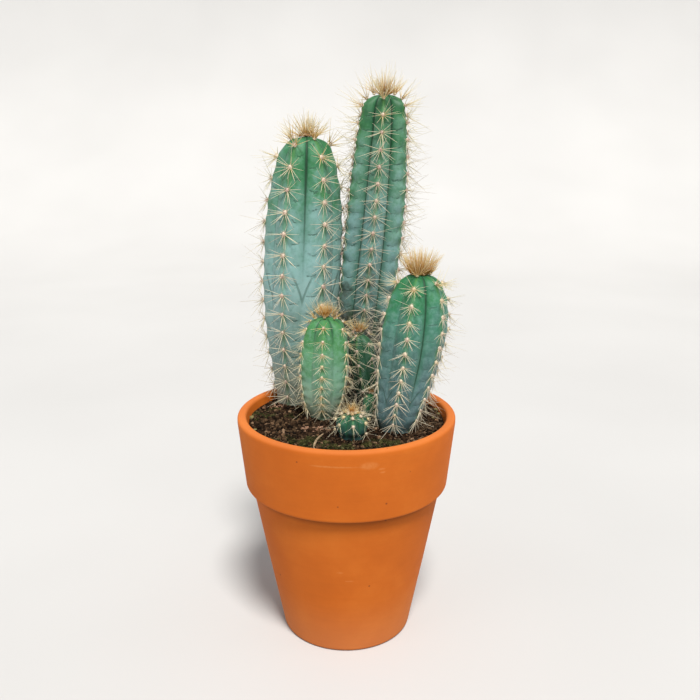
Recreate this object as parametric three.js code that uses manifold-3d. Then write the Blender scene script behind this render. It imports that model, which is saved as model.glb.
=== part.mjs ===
// A clump of ribbed columnar cacti, five columns and two young offsets, in a terracotta pot.
// Millimetres, +Z up. The origin is the centre of the pot's foot, on the surface it stands on.
// The front of the plant faces -Y. An angle round a stem is measured from -Y towards +X.
import * as THREE from "three";
import { mergeVertices } from "three/addons/utils/BufferGeometryUtils.js";
import Module from "manifold-3d";

const wasm = await Module();
wasm.setup();

// Gap between pieces that rest on or in one another
const clearance = 0.35;

// The pot: a plain foot, a tapered wall, and a collar that stands proud of the wall
const pot = {
  height: 150,
  footRadius: 43,
  footRounding: 2.5,
  neckRadius: 62,
  neckHeight: 103,
  collarRadius: 66,
  collarRounding: 2,
  rimRadius: 70.3,
  rimStraight: 4,
  lipThickness: 5.8,
  lipRounding: 2,
  wallThickness: 6.5,
  floorThickness: 8,
  drainRadius: 6,
  segments: 42,
};

// The soil: a low mound with lumps of bark and grit, its edge in line just under the rim
const soil = {
  edgeHeight: 144.5,
  moundHeight: 1.8,
  lumpSize: 6,
  lumpHeight: 1,
  rings: 7,
  segments: 34,
  seed: 11,
};

// The stems' heights are measured up from this level of the soil
const soilAtStems = 146;
const buriedDepth = 14;
const straightAboveSoil = 2.5;

// One entry for each stem. at: its centre at the soil. lean: how far its top leans in X and Y.
// arch: 0 leans straight, 1 leans mostly in the lower half. outline: [height, radius over the rib
// crests]. grooveFoot, grooveTop: groove depth as a share of the radius. turn: angle of the first
// rib in degrees. first: how far the first areoles are from the tip, on even and on odd ribs.
// pitch: areole spacing near the top. crowding: how much closer the areoles are at the foot.
// spine, crown: length of a side spine and of the erect ones round the tip.
const stems = [
  {
    name: "stem_left_tall",
    at: [-33.2, 33],
    lean: [8.4, -3.5],
    arch: 0,
    outline: [[0, 14.4], [22, 18], [50, 22.8], [78, 25.5], [104, 25.4], [130, 24.3], [156, 20], [169, 15.6],
      [175.2, 8.4]],
    height: 177.2,
    ribs: 6,
    turn: -26,
    grooveFoot: 0.08,
    grooveTop: 0.22,
    rings: 12,
    first: [1.6, 9.8],
    pitch: 14.4,
    crowding: 0.22,
    spine: 12.5,
    crown: 17,
  },
  {
    name: "stem_back_tall",
    at: [5, 40.5],
    lean: [19, -2.5],
    arch: 0.55,
    outline: [[0, 13.4], [28, 17.8], [68, 20.5], [108, 21.2], [143, 20.6], [169, 18.7], [184, 17], [194.5, 14.8],
      [200, 10.4]],
    height: 202.5,
    ribs: 6,
    turn: -3,
    grooveFoot: 0.2,
    grooveTop: 0.4,
    rings: 12,
    first: [2.6, 7.4],
    pitch: 10.6,
    crowding: 0.1,
    spine: 11,
    crown: 16.5,
  },
  {
    name: "stem_right",
    at: [31.3, -21],
    lean: [13, 9],
    arch: 1,
    outline: [[0, 10.8], [5, 13.2], [12, 15.3], [32, 18.4], [52, 20.8], [64, 21.1], [77, 19.6], [87, 16.1],
      [94.5, 10.2]],
    height: 97.5,
    ribs: 6,
    turn: -16,
    grooveFoot: 0.08,
    grooveTop: 0.27,
    rings: 10,
    first: [6.7, 3.9],
    pitch: 11.2,
    crowding: 0.46,
    spine: 9.2,
    crown: 18.5,
  },
  {
    name: "stem_front_left",
    at: [-15, -0.8],
    lean: [2, -2.2],
    arch: 1,
    outline: [[0, 8.2], [6, 10.8], [14, 13.8], [27, 16.1], [41, 16.4], [53, 15.2], [61, 12.8], [66.5, 8]],
    height: 69,
    ribs: 6,
    turn: -5,
    grooveFoot: 0.1,
    grooveTop: 0.25,
    rings: 10,
    first: [4.5, 7],
    pitch: 9.4,
    crowding: 0.5,
    spine: 7.6,
    crown: 9.8,
  },
  {
    name: "stem_middle",
    at: [16, 14],
    lean: [-8.3, -3],
    arch: 0,
    outline: [[0, 6], [8, 8], [22, 9.1], [38, 9], [48, 7.8], [53.5, 5.2]],
    height: 56,
    ribs: 6,
    turn: 40,
    grooveFoot: 0.12,
    grooveTop: 0.26,
    rings: 8,
    first: [2.6, 7.1],
    pitch: 10,
    crowding: 0.15,
    spine: 8,
    crown: 10.5,
  },
  {
    name: "offset_front",
    at: [3.5, -36],
    lean: [0, 0],
    arch: 1,
    outline: [[0, 7.8], [4.5, 9.9], [8.5, 10.4], [12.2, 8.9], [14.8, 5.6]],
    height: 16.5,
    ribs: 7,
    turn: 4,
    grooveFoot: 0.22,
    grooveTop: 0.4,
    rings: 5,
    first: [3, 2.6],
    pitch: 3.3,
    crowding: -1.7,
    spine: 9.2,
    crown: 8.5,
  },
  {
    name: "offset_middle",
    at: [15.5, -4.5],
    lean: [0.5, 0.5],
    arch: 1,
    outline: [[0, 4.2], [4.5, 5.3], [10, 5.7], [15, 4.7], [18, 2.6]],
    height: 19,
    ribs: 6,
    turn: 15,
    grooveFoot: 0.15,
    grooveTop: 0.25,
    rings: 5,
    first: [2.6, 5.3],
    pitch: 6,
    crowding: 0.1,
    spine: 5.5,
    crown: 5.8,
  },
];

// A woolly pad on a rib crest, and the spine that grows from it
const areole = {
  padRadius: 1.4,
  rootDepth: 2.8,
  padHeight: 1.3,
  spineRadius: 0.42,
  goldenAngle: 137.5,
};

// Tilts are in degrees from the surface's outward direction. One areole in three shows its central
// spine, which is longer, and the others show a side spine.
const sideTilt = { least: 48, spread: 20 };
const centralTilt = { least: 8, spread: 22 };
const crownTilt = { least: 12, spread: 24 };
const centralEvery = 3;
const centralLength = 1.45;
const lengthSpread = 0.14;
const spineGap = 0.35;
const spineSeed = 33;

// The skin and the wool grow as one body, so a stem has one colour
const looks = {
  terracotta: { color: "#c86a2c", roughness: 0.85 },
  soil: { color: "#3b3026", roughness: 1 },
  stem: { color: "#4f9078", roughness: 0.6 },
};

const { degToRad, lerp, clamp, smoothstep } = THREE.MathUtils;

// Seeded random numbers from 0 to 1
function randomFrom(seed) {
  let state = seed;
  return () => {
    state = (state + 0x6d2b79f5) | 0;
    let mixed = Math.imul(state ^ (state >>> 15), 1 | state);
    mixed = (mixed + Math.imul(mixed ^ (mixed >>> 7), 61 | mixed)) ^ mixed;
    return ((mixed ^ (mixed >>> 14)) >>> 0) / 4294967296;
  };
}

// A closed solid from a three.js geometry, with its faces turned outwards
function solidOf(geometry) {
  const bare = geometry.clone();
  bare.deleteAttribute("normal");
  bare.deleteAttribute("uv");
  const merged = mergeVertices(bare, 1e-4);
  const triVerts = new Uint32Array(merged.index.array);
  const vertProperties = new Float32Array(merged.attributes.position.array);
  const made = new wasm.Manifold(new wasm.Mesh({ numProp: 3, vertProperties, triVerts }));
  if (made.volume() > 0) return made;
  triVerts.reverse();
  return new wasm.Manifold(new wasm.Mesh({ numProp: 3, vertProperties, triVerts }));
}

function geometryOf(solid) {
  const { vertProperties, triVerts } = solid.getMesh();
  const geometry = new THREE.BufferGeometry();
  geometry.setAttribute("position", new THREE.BufferAttribute(vertProperties, 3));
  geometry.setIndex(new THREE.BufferAttribute(triVerts, 1));
  geometry.computeVertexNormals();
  return geometry;
}

// LatheGeometry turns a profile of [radius, height] points about Y. This stands it up along Z.
function turned(profile, segments) {
  const points = profile.map(([radius, height]) => new THREE.Vector2(radius, height));
  return new THREE.LatheGeometry(points, segments).rotateX(Math.PI / 2);
}

// Profile points of an arc between two directions in degrees
function arc(centreRadius, centreHeight, size, from, to) {
  return [from, (from + to) / 2, to].map((direction) => {
    const angle = degToRad(direction);
    return [centreRadius + size * Math.cos(angle), centreHeight + size * Math.sin(angle)];
  });
}

// Radius of the pot's inner wall at a height
function innerRadius(height) {
  const low = pot.footRadius - pot.wallThickness;
  const high = pot.rimRadius - pot.lipThickness;
  return lerp(low, high, (height - pot.floorThickness) / (pot.height - pot.floorThickness));
}

function potGeometry() {
  const { footRounding, collarRounding, lipRounding, floorThickness, drainRadius, height } = pot;
  const lipHeight = height - lipRounding;
  const lipInside = pot.rimRadius - pot.lipThickness + lipRounding;
  const profile = [
    [drainRadius, 0],
    ...arc(pot.footRadius - footRounding, footRounding, footRounding, -90, -10),
    [pot.neckRadius, pot.neckHeight],
    ...arc(pot.collarRadius - collarRounding, pot.neckHeight + collarRounding, collarRounding, -90, 0),
    [pot.rimRadius, height - pot.rimStraight],
    ...arc(pot.rimRadius - lipRounding, lipHeight, lipRounding, 0, 90),
    ...arc(lipInside, lipHeight, lipRounding, 90, 180),
    [innerRadius(floorThickness), floorThickness],
    [drainRadius, floorThickness],
    [drainRadius, 0],
  ];
  return turned(profile, pot.segments);
}

// Smooth noise from -1 to 1 over a grid of random heights
function noiseFrom(seed) {
  const random = randomFrom(seed);
  const side = 64;
  const grid = Array.from({ length: side * side }, () => random() * 2 - 1);
  const at = (i, j) => grid[(i & (side - 1)) * side + (j & (side - 1))];
  return (x, y) => {
    const i = Math.floor(x);
    const j = Math.floor(y);
    const u = smoothstep(x - i, 0, 1);
    return lerp(lerp(at(i, j), at(i + 1, j), u), lerp(at(i, j + 1), at(i + 1, j + 1), u), y - j);
  };
}

const soilLumps = noiseFrom(soil.seed);

// Height of the soil's surface at a place, flat round its edge
function soilHeight(x, y) {
  const out = Math.min(1, Math.hypot(x, y) / innerRadius(soil.edgeHeight));
  const lumps = soil.lumpHeight * soilLumps(x / soil.lumpSize, y / soil.lumpSize) * (1 - out ** 6);
  return soil.edgeHeight + soil.moundHeight * (1 - out * out) + lumps;
}

// A plain upright hole for a stem's foot
function footHole(stem) {
  const sides = 24;
  const radius = (stem.outline[0][1] + clearance) / Math.cos(Math.PI / sides);
  const depth = 2 * (buriedDepth + clearance);
  const hole = new THREE.CylinderGeometry(radius, radius, depth, sides).rotateX(Math.PI / 2);
  return solidOf(hole.translate(stem.at[0], stem.at[1], soilAtStems));
}

// The soil fills the pot up to its own top
function soilGeometry() {
  const bottom = pot.floorThickness + clearance;
  const edge = innerRadius(soil.edgeHeight) - clearance;
  const profile = [[0, bottom], [innerRadius(bottom) - clearance, bottom]];
  for (let ring = 0; ring <= soil.rings; ring++) {
    profile.push([edge * (1 - ring / soil.rings), soil.edgeHeight]);
  }
  const plug = turned(profile, soil.segments);
  const position = plug.attributes.position;
  for (let i = 0; i < position.count; i++) {
    if (position.getZ(i) > bottom + 1) position.setZ(i, soilHeight(position.getX(i), position.getY(i)));
  }
  return geometryOf(stems.reduce((filled, stem) => filled.subtract(footHole(stem)), solidOf(plug)));
}

// Where a stem's centre is at a height above the soil
function centreAt(stem, height) {
  const share = clamp((height - straightAboveSoil) / (stem.height - straightAboveSoil), 0, 1);
  const bend = lerp(share, Math.sin((share * Math.PI) / 2), stem.arch);
  return [stem.at[0] + stem.lean[0] * bend, stem.at[1] + stem.lean[1] * bend];
}

// A stem's outline as a smooth curve of radius and height, from the soil up to the tip
function outlineCurve(stem) {
  const [[, footRadius], ...upper] = stem.outline;
  const points = [[straightAboveSoil, footRadius], ...upper, [stem.height, 0]];
  return new THREE.SplineCurve(points.map(([height, radius]) => new THREE.Vector2(radius, height)));
}

// Share of the radius that is left at an angle: 1 on a crest, least in the groove between two
function ribShape(stem, angle, height) {
  const ribs = ((angle - degToRad(stem.turn)) * stem.ribs) / (2 * Math.PI);
  const fromCrest = 2 * Math.abs(ribs - Math.round(ribs));
  const depth = lerp(stem.grooveFoot, stem.grooveTop, clamp(height / stem.height, 0, 1));
  const rise = smoothstep(height, -buriedDepth / 4, buriedDepth);
  return 1 - depth * rise * fromCrest ** 1.25;
}

// A ribbed column on a round foot, with its rings closer together towards the tip
function stemBody(stem, curve) {
  const footRadius = stem.outline[0][1];
  const profile = [[0, -buriedDepth], [footRadius, -buriedDepth]];
  for (let ring = 0; ring < stem.rings; ring++) {
    const { x: radius, y: height } = curve.getPointAt(1 - (1 - ring / stem.rings) ** 1.4);
    profile.push([radius, height]);
  }
  const columns = stem.ribs * 4;
  const body = turned([...profile, [0, stem.height]], columns);
  const position = body.attributes.position;
  for (let i = 0; i < position.count; i++) {
    const height = position.getZ(i);
    const round = Math.atan2(position.getX(i), -position.getY(i));
    const angle = round + degToRad(stem.turn);
    const radius = Math.hypot(position.getX(i), position.getY(i)) * ribShape(stem, angle, height);
    const [x, y] = centreAt(stem, height);
    position.setXYZ(i, x + radius * Math.sin(angle), y - radius * Math.cos(angle), soilAtStems + height);
  }
  return solidOf(body);
}

// The areoles down one rib, each with the surface's own directions: out, up and side
function areolesOf(stem, curve, rib) {
  const length = curve.getLength();
  const angle = degToRad(stem.turn) + (rib * 2 * Math.PI) / stem.ribs;
  const around = new THREE.Vector3(Math.sin(angle), -Math.cos(angle), 0);
  const places = [];
  let fromTip = stem.first[rib % 2];
  while (fromTip < length - 3) {
    const share = 1 - fromTip / length;
    const { x: radius, y: height } = curve.getPointAt(share);
    const slope = curve.getTangentAt(share);
    const [x, y] = centreAt(stem, height);
    const up = around.clone().multiplyScalar(slope.x).setZ(slope.y);
    const out = around.clone().multiplyScalar(slope.y).setZ(-slope.x);
    const point = new THREE.Vector3(x, y, soilAtStems + height).addScaledVector(around, radius);
    places.push({ point, up, out, side: up.clone().cross(out) });
    fromTip += stem.pitch * (1 - stem.crowding * (1 - share));
  }
  return places;
}

// A pointed spine, three-sided, rooted straight into the stem. With a pad, it grows from a swelling
// that lies on the surface, the areole's wool.
function spineSolid(place, direction, length, hasPad) {
  const { padRadius, rootDepth, padHeight, spineRadius } = areole;
  const root = hasPad ? [[0, -rootDepth], [padRadius, 0]] : [[0, -rootDepth]];
  const profile = [...root, [spineRadius, hasPad ? padHeight : 0], [0, length]];
  const spine = turned(profile, 3);
  const stand = new THREE.Quaternion().setFromUnitVectors(new THREE.Vector3(0, 0, 1), place.out);
  const lean = new THREE.Quaternion().setFromUnitVectors(place.out, direction);
  const position = spine.attributes.position;
  for (let i = 0; i < position.count; i++) {
    const vertex = new THREE.Vector3().fromBufferAttribute(position, i).applyQuaternion(stand);
    if (i % profile.length >= root.length) vertex.applyQuaternion(lean);
    vertex.add(place.point);
    position.setXYZ(i, vertex.x, vertex.y, vertex.z);
  }
  return solidOf(spine);
}

// Radius over the rib crests at a height, straight between the outline's points
function crestRadius(stem, height) {
  const points = [...stem.outline, [stem.height, 0]];
  const next = points.findIndex(([top]) => top > height);
  if (next < 0) return 0;
  if (next === 0) return points[0][1];
  const [low, lowRadius] = points[next - 1];
  const [high, highRadius] = points[next];
  return lerp(lowRadius, highRadius, (height - low) / (high - low));
}

// True where a point on a spine is inside, or too near, the pot, the soil or another stem
function isBlocked(stem, point) {
  const out = Math.hypot(point.x, point.y);
  if (point.z < pot.height + 1 && out > innerRadius(soil.edgeHeight) - 1) return true;
  if (point.z < soilHeight(point.x, point.y) + soil.lumpHeight) return true;
  const height = point.z - soilAtStems;
  return stems.some((other) => {
    if (other === stem || height > other.height + 1.5) return false;
    const [x, y] = centreAt(other, height);
    return Math.hypot(point.x - x, point.y - y) < crestRadius(other, height) + 1.2;
  });
}

// True where a spine is clear of everything, the other stems' spines in placed too
function isClear(stem, root, tip, placed) {
  if ([0.4, 0.7, 1].some((share) => isBlocked(stem, root.clone().lerp(tip, share)))) return false;
  const line = new THREE.Line3(root, tip);
  const least = 2 * areole.spineRadius + spineGap;
  return placed.every((other) => other.stem === stem || line.distanceSqToLine3(other.line) > least * least);
}

function stemGeometry(stem, random, placed) {
  const curve = outlineCurve(stem);
  let solid = stemBody(stem, curve);
  const grow = (place, lean, turn, longest, hasPad) => {
    const tilt = degToRad(lean.least + lean.spread * random());
    const aside = place.up.clone().multiplyScalar(Math.cos(turn)).addScaledVector(place.side, Math.sin(turn));
    const direction = place.out.clone().multiplyScalar(Math.cos(tilt)).addScaledVector(aside, Math.sin(tilt));
    const full = longest * (1 - lengthSpread * random());
    for (const length of [full, full * 0.7, full * 0.45]) {
      const tip = place.point.clone().addScaledVector(direction, length);
      if (isClear(stem, place.point, tip, placed)) {
        placed.push({ stem, line: new THREE.Line3(place.point, tip) });
        solid = solid.add(spineSolid(place, direction, length, hasPad));
        return;
      }
    }
  };
  let number = 0;
  for (let rib = 0; rib < stem.ribs; rib++) {
    areolesOf(stem, curve, rib).forEach((place, order) => {
      const turn = degToRad(number * areole.goldenAngle);
      if (order === 0) {
        grow(place, crownTilt, turn, stem.crown, true);
        grow(place, sideTilt, turn + Math.PI, stem.crown, false);
      } else if (number % centralEvery === 0) {
        grow(place, centralTilt, turn, stem.spine * centralLength, true);
      } else {
        grow(place, sideTilt, turn, stem.spine, true);
      }
      number += 1;
    });
  }
  return geometryOf(solid);
}

function piece(name, geometry, look) {
  const mesh = new THREE.Mesh(geometry, new THREE.MeshStandardMaterial({ metalness: 0, ...look }));
  mesh.name = name;
  return mesh;
}

function pottedCactus() {
  const group = new THREE.Group();
  group.add(piece("pot", potGeometry(), looks.terracotta));
  group.add(piece("soil", soilGeometry(), looks.soil));
  const random = randomFrom(spineSeed);
  const placed = [];
  for (const stem of stems) {
    group.add(piece(stem.name, stemGeometry(stem, random, placed), looks.stem));
  }
  return group;
}

export default pottedCactus();
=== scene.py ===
# The looks of a clump of ribbed columnar cacti in a terracotta pot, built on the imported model.
# Metres, +Z up. The front faces -Y, and an angle round a stem is measured from -Y towards +X.
import math
import random
from bisect import bisect

import bmesh
import bpy
from mathutils import Euler, Matrix, Vector, noise
from mathutils.geometry import interpolate_bezier


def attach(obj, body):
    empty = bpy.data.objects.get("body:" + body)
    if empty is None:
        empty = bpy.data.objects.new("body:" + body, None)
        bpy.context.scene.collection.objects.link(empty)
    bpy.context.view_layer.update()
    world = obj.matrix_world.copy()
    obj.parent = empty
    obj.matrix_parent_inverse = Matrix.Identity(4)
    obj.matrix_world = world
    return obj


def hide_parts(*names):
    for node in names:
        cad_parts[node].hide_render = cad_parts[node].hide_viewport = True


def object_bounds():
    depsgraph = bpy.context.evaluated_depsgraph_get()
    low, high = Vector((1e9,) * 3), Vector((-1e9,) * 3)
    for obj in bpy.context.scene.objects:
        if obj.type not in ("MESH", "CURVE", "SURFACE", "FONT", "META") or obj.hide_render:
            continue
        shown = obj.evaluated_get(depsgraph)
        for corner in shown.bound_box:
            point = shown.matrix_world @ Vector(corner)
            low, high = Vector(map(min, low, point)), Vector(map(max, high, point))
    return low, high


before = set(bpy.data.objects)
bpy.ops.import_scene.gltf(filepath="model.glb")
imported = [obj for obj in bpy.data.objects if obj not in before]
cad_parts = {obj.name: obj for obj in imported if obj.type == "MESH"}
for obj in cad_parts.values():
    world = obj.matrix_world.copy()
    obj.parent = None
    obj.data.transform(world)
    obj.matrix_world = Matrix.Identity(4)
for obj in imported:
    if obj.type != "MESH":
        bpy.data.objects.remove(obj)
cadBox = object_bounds()
scene = bpy.context.scene
print("frame loaded")


# Small helpers

def linear(colour):
    channels = [int(colour[i:i + 2], 16) / 255 for i in (1, 3, 5)]
    return [c / 12.92 if c <= 0.04045 else ((c + 0.055) / 1.055) ** 2.4 for c in channels] + [1]


def lerp(start, end, share):
    return start + (end - start) * share


def smooth(value, low, high):
    share = min(1, max(0, (value - low) / (high - low)))
    return share * share * (3 - 2 * share)


def deselectAll():
    if bpy.context.mode != "OBJECT":
        bpy.ops.object.mode_set(mode="OBJECT")
    bpy.ops.object.select_all(action="DESELECT")


def pick(piece):
    deselectAll()
    piece.select_set(True)
    bpy.context.view_layer.objects.active = piece


def named(name):
    piece = bpy.context.object
    piece.name = name
    piece.data.name = name
    return piece


def applied(piece, kind, **settings):
    pick(piece)
    modifier = piece.modifiers.new(kind.title(), kind)
    for name, value in settings.items():
        setattr(modifier, name, value)
    bpy.ops.object.modifier_apply(modifier=modifier.name)


# Adds one node, with its settings, the values of its sockets and the links into them. A link that
# comes from a node takes the first of its outputs that is in use.
def addNode(material, kind, values=None, links=None, **settings):
    tree = material.node_tree
    node = tree.nodes.new(kind)
    for name, value in settings.items():
        setattr(node, name, value)
    for name, value in (values or {}).items():
        node.inputs[name].default_value = value
    for name, source in (links or {}).items():
        if isinstance(source, bpy.types.Node):
            source = next(socket for socket in source.outputs if socket.enabled)
        tree.links.new(source, node.inputs[name])
    return node


def setStops(ramp, stops):
    stripe = ramp.color_ramp
    while len(stripe.elements) < len(stops):
        stripe.elements.new(1)
    for element, (place, colour) in zip(stripe.elements, stops):
        element.position = place
        element.color = linear(colour)


def bareMaterial(name):
    material = bpy.data.materials.new(name)
    material.use_nodes = True
    material.node_tree.nodes.clear()
    return material


def surface(material, colour, bump, values):
    shader = addNode(material, "ShaderNodeBsdfPrincipled", values, {"Base Color": colour, "Normal": bump})
    addNode(material, "ShaderNodeOutputMaterial", links={"Surface": shader})
    return shader


# A filled or open ring at the profile's first point, extruded and scaled to each point after it
def raised(name, profile, sides, filled):
    deselectAll()
    radius, height = profile[0]
    fill = "NGON" if filled else "NOTHING"
    bpy.ops.mesh.primitive_circle_add(vertices=sides, radius=radius, fill_type=fill)
    piece = named(name)
    bpy.ops.object.mode_set(mode="EDIT")
    bpy.ops.mesh.select_all(action="SELECT")
    bpy.ops.transform.translate(value=(0, 0, height))
    for nextRadius, nextHeight in profile[1:]:
        bpy.ops.mesh.extrude_region_move(TRANSFORM_OT_translate={"value": (0, 0, nextHeight - height)})
        size = nextRadius / radius
        bpy.ops.transform.resize(value=(size, size, 1), center_override=(0, 0, nextHeight))
        radius, height = nextRadius, nextHeight
    return piece


def closeTip():
    bpy.ops.mesh.merge(type="CENTER")
    bpy.ops.mesh.select_all(action="SELECT")
    bpy.ops.mesh.normals_make_consistent(inside=False)
    bpy.ops.object.mode_set(mode="OBJECT")


# A copy of a pattern with its own mesh, placed by a matrix, with one shade from 0 to 1 all over it
def planted(pattern, matrix, shade):
    mesh = pattern.data.copy()
    mesh.transform(matrix)
    mesh.attributes["shade"].data.foreach_set("value", [shade] * len(mesh.vertices))
    piece = bpy.data.objects.new(pattern.name, mesh)
    scene.collection.objects.link(piece)
    return piece


def joined(pieces, name):
    deselectAll()
    for piece in pieces:
        piece.select_set(True)
    bpy.context.view_layer.objects.active = pieces[0]
    bpy.ops.object.join()
    return named(name)


def addShade(piece):
    piece.data.attributes.new("shade", "FLOAT", "POINT")
    return piece


# The turn from each of a spiral's points to the next, which spreads them evenly
goldenAngle = math.radians(137.5)


# Points of an arc between two directions in degrees, as radius and height
def arc(radius, height, size, start, end, steps=6):
    turns = [math.radians(lerp(start, end, i / steps)) for i in range(steps + 1)]
    return [(radius + size * math.cos(turn), height + size * math.sin(turn)) for turn in turns]


# Camera, floor and soft studio light

studio = {
    "cameraPlace": (0.0023, -0.5, 0.3303),
    "cameraPitch": 15.57,
    "lens": 41.97,
    "sensor": 36,
    "floorSize": 5,
    "backHeight": 3,
    "foldRadius": 1.2,
    "floorColour": "#bfbebc",
    "skyColour": "#f4f6fa",
    "skyStrength": 0.42,
    # the big soft light overhead: degrees up, degrees to the right of the camera, width in degrees
    "softLight": {"up": 62, "right": 13, "width": 14, "strength": 4.2, "colour": "#fffdfa"},
    "lookAt": (0, 0, 0.17),
    # place, width and strength in watts of each soft box beside the object
    "boxes": {
        "leftBox": ((-0.9, -0.7, 0.45), 0.6, 1.1, "#f6f9ff"),
        "rightBox": ((1.1, -0.2, 0.6), 0.6, 0.8, "#f6f9ff"),
    },
}


def makeStudio():
    scene.view_settings.view_transform = "Standard"
    tilt = math.radians(90 - studio["cameraPitch"])
    bpy.ops.object.camera_add(location=studio["cameraPlace"], rotation=(tilt, 0, 0))
    camera = bpy.context.object
    camera.name = "frontCamera"
    camera.data.lens = studio["lens"]
    camera.data.sensor_width = studio["sensor"]
    camera.data.clip_start = 0.01
    scene.camera = camera

    world = bpy.data.worlds.new("softSky")
    world.use_nodes = True
    scene.world = world
    sky = world.node_tree.nodes["Background"]
    sky.inputs["Color"].default_value = linear(studio["skyColour"])
    sky.inputs["Strength"].default_value = studio["skyStrength"]

    soft = studio["softLight"]
    turns = (math.radians(90 - soft["up"]), 0, math.radians(soft["right"]))
    bpy.ops.object.light_add(type="SUN", location=(0.5, -0.8, 1.5), rotation=turns)
    overhead = bpy.context.object
    overhead.name = "overheadLight"
    overhead.data.energy = soft["strength"]
    overhead.data.angle = math.radians(soft["width"])
    overhead.data.color = linear(soft["colour"])[:3]

    for name, (place, width, watts, colour) in studio["boxes"].items():
        aim = (Vector(studio["lookAt"]) - Vector(place)).to_track_quat("-Z", "Y").to_euler()
        bpy.ops.object.light_add(type="AREA", location=place, rotation=aim)
        box = bpy.context.object
        box.name = name
        box.data.size = width
        box.data.energy = watts
        box.data.color = linear(colour)[:3]


def selectEdges(piece, wanted):
    bpy.ops.mesh.select_all(action="DESELECT")
    form = bmesh.from_edit_mesh(piece.data)
    for edge in form.edges:
        if wanted(edge):
            edge.select_set(True)
    bmesh.update_edit_mesh(piece.data)


# Matt painted board: pale, without gloss, and even but for faint clouds of about 0.3 m
def paintedBoard():
    material = bareMaterial("paintedBoard")
    place = addNode(material, "ShaderNodeTexCoord").outputs["Object"]
    cloud = addNode(material, "ShaderNodeTexNoise", {"Scale": 3, "Detail": 2}, {"Vector": place})
    tone = addNode(material, "ShaderNodeValToRGB", links={"Fac": cloud})
    setStops(tone, [(0.3, studio["floorColour"]), (0.7, "#c4c3c1")])
    grain = addNode(material, "ShaderNodeBump", {"Strength": 0.02, "Distance": 0.001}, {"Height": cloud})
    surface(material, tone, grain, {"Roughness": 0.9})
    return material


def makeFloor():
    deselectAll()
    bpy.ops.mesh.primitive_plane_add(size=studio["floorSize"])
    floor = named("floor")
    bpy.ops.object.mode_set(mode="EDIT")
    bpy.ops.mesh.select_mode(type="EDGE")
    selectEdges(floor, lambda edge: min(corner.co.y for corner in edge.verts) > 0)
    bpy.ops.mesh.extrude_edges_move(TRANSFORM_OT_translate={"value": (0, 0, studio["backHeight"])})
    selectEdges(floor, lambda edge: len(edge.link_faces) == 2)
    bpy.ops.mesh.bevel(offset=studio["foldRadius"], segments=24)
    bpy.ops.mesh.select_all(action="SELECT")
    bpy.ops.mesh.normals_make_consistent(inside=True)
    bpy.ops.mesh.select_mode(type="VERT")
    bpy.ops.object.mode_set(mode="OBJECT")
    bpy.ops.object.shade_smooth()
    floor.data.materials.append(paintedBoard())


# The pot

pot = {
    "height": 0.15,
    "footRadius": 0.043,
    "footRounding": 0.0025,
    "neckRadius": 0.062,
    "neckHeight": 0.103,
    "collarRadius": 0.066,
    "collarRounding": 0.002,
    "rimRadius": 0.0703,
    "rimStraight": 0.004,
    "lipThickness": 0.0058,
    "lipRounding": 0.002,
    "wallThickness": 0.0065,
    "floorThickness": 0.008,
    "drainRadius": 0.006,
    "sides": 144,
    # height of the painted shade under the collar
    "collarShadeHeight": 0.006,
    # pale rubs and scuffs on the front: place on the wall, then half width and half height
    "rubDepth": 0.004,
    "rubs": [
        ((0.0135, -0.0685, 0.1412), (0.0080, 0.0034)),
        ((0.0206, -0.0665, 0.1385), (0.0030, 0.0010)),
        ((0.0212, -0.0660, 0.1362), (0.0026, 0.0009)),
        ((-0.0038, -0.0563, 0.0643), (0.0040, 0.0012)),
        ((0.0019, -0.0550, 0.0578), (0.0048, 0.0009)),
        ((-0.0120, -0.0690, 0.1408), (0.0300, 0.0009)),
    ],
}


def innerRadius(height):
    low = pot["footRadius"] - pot["wallThickness"]
    high = pot["rimRadius"] - pot["lipThickness"]
    return lerp(low, high, (height - pot["floorThickness"]) / (pot["height"] - pot["floorThickness"]))


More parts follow.
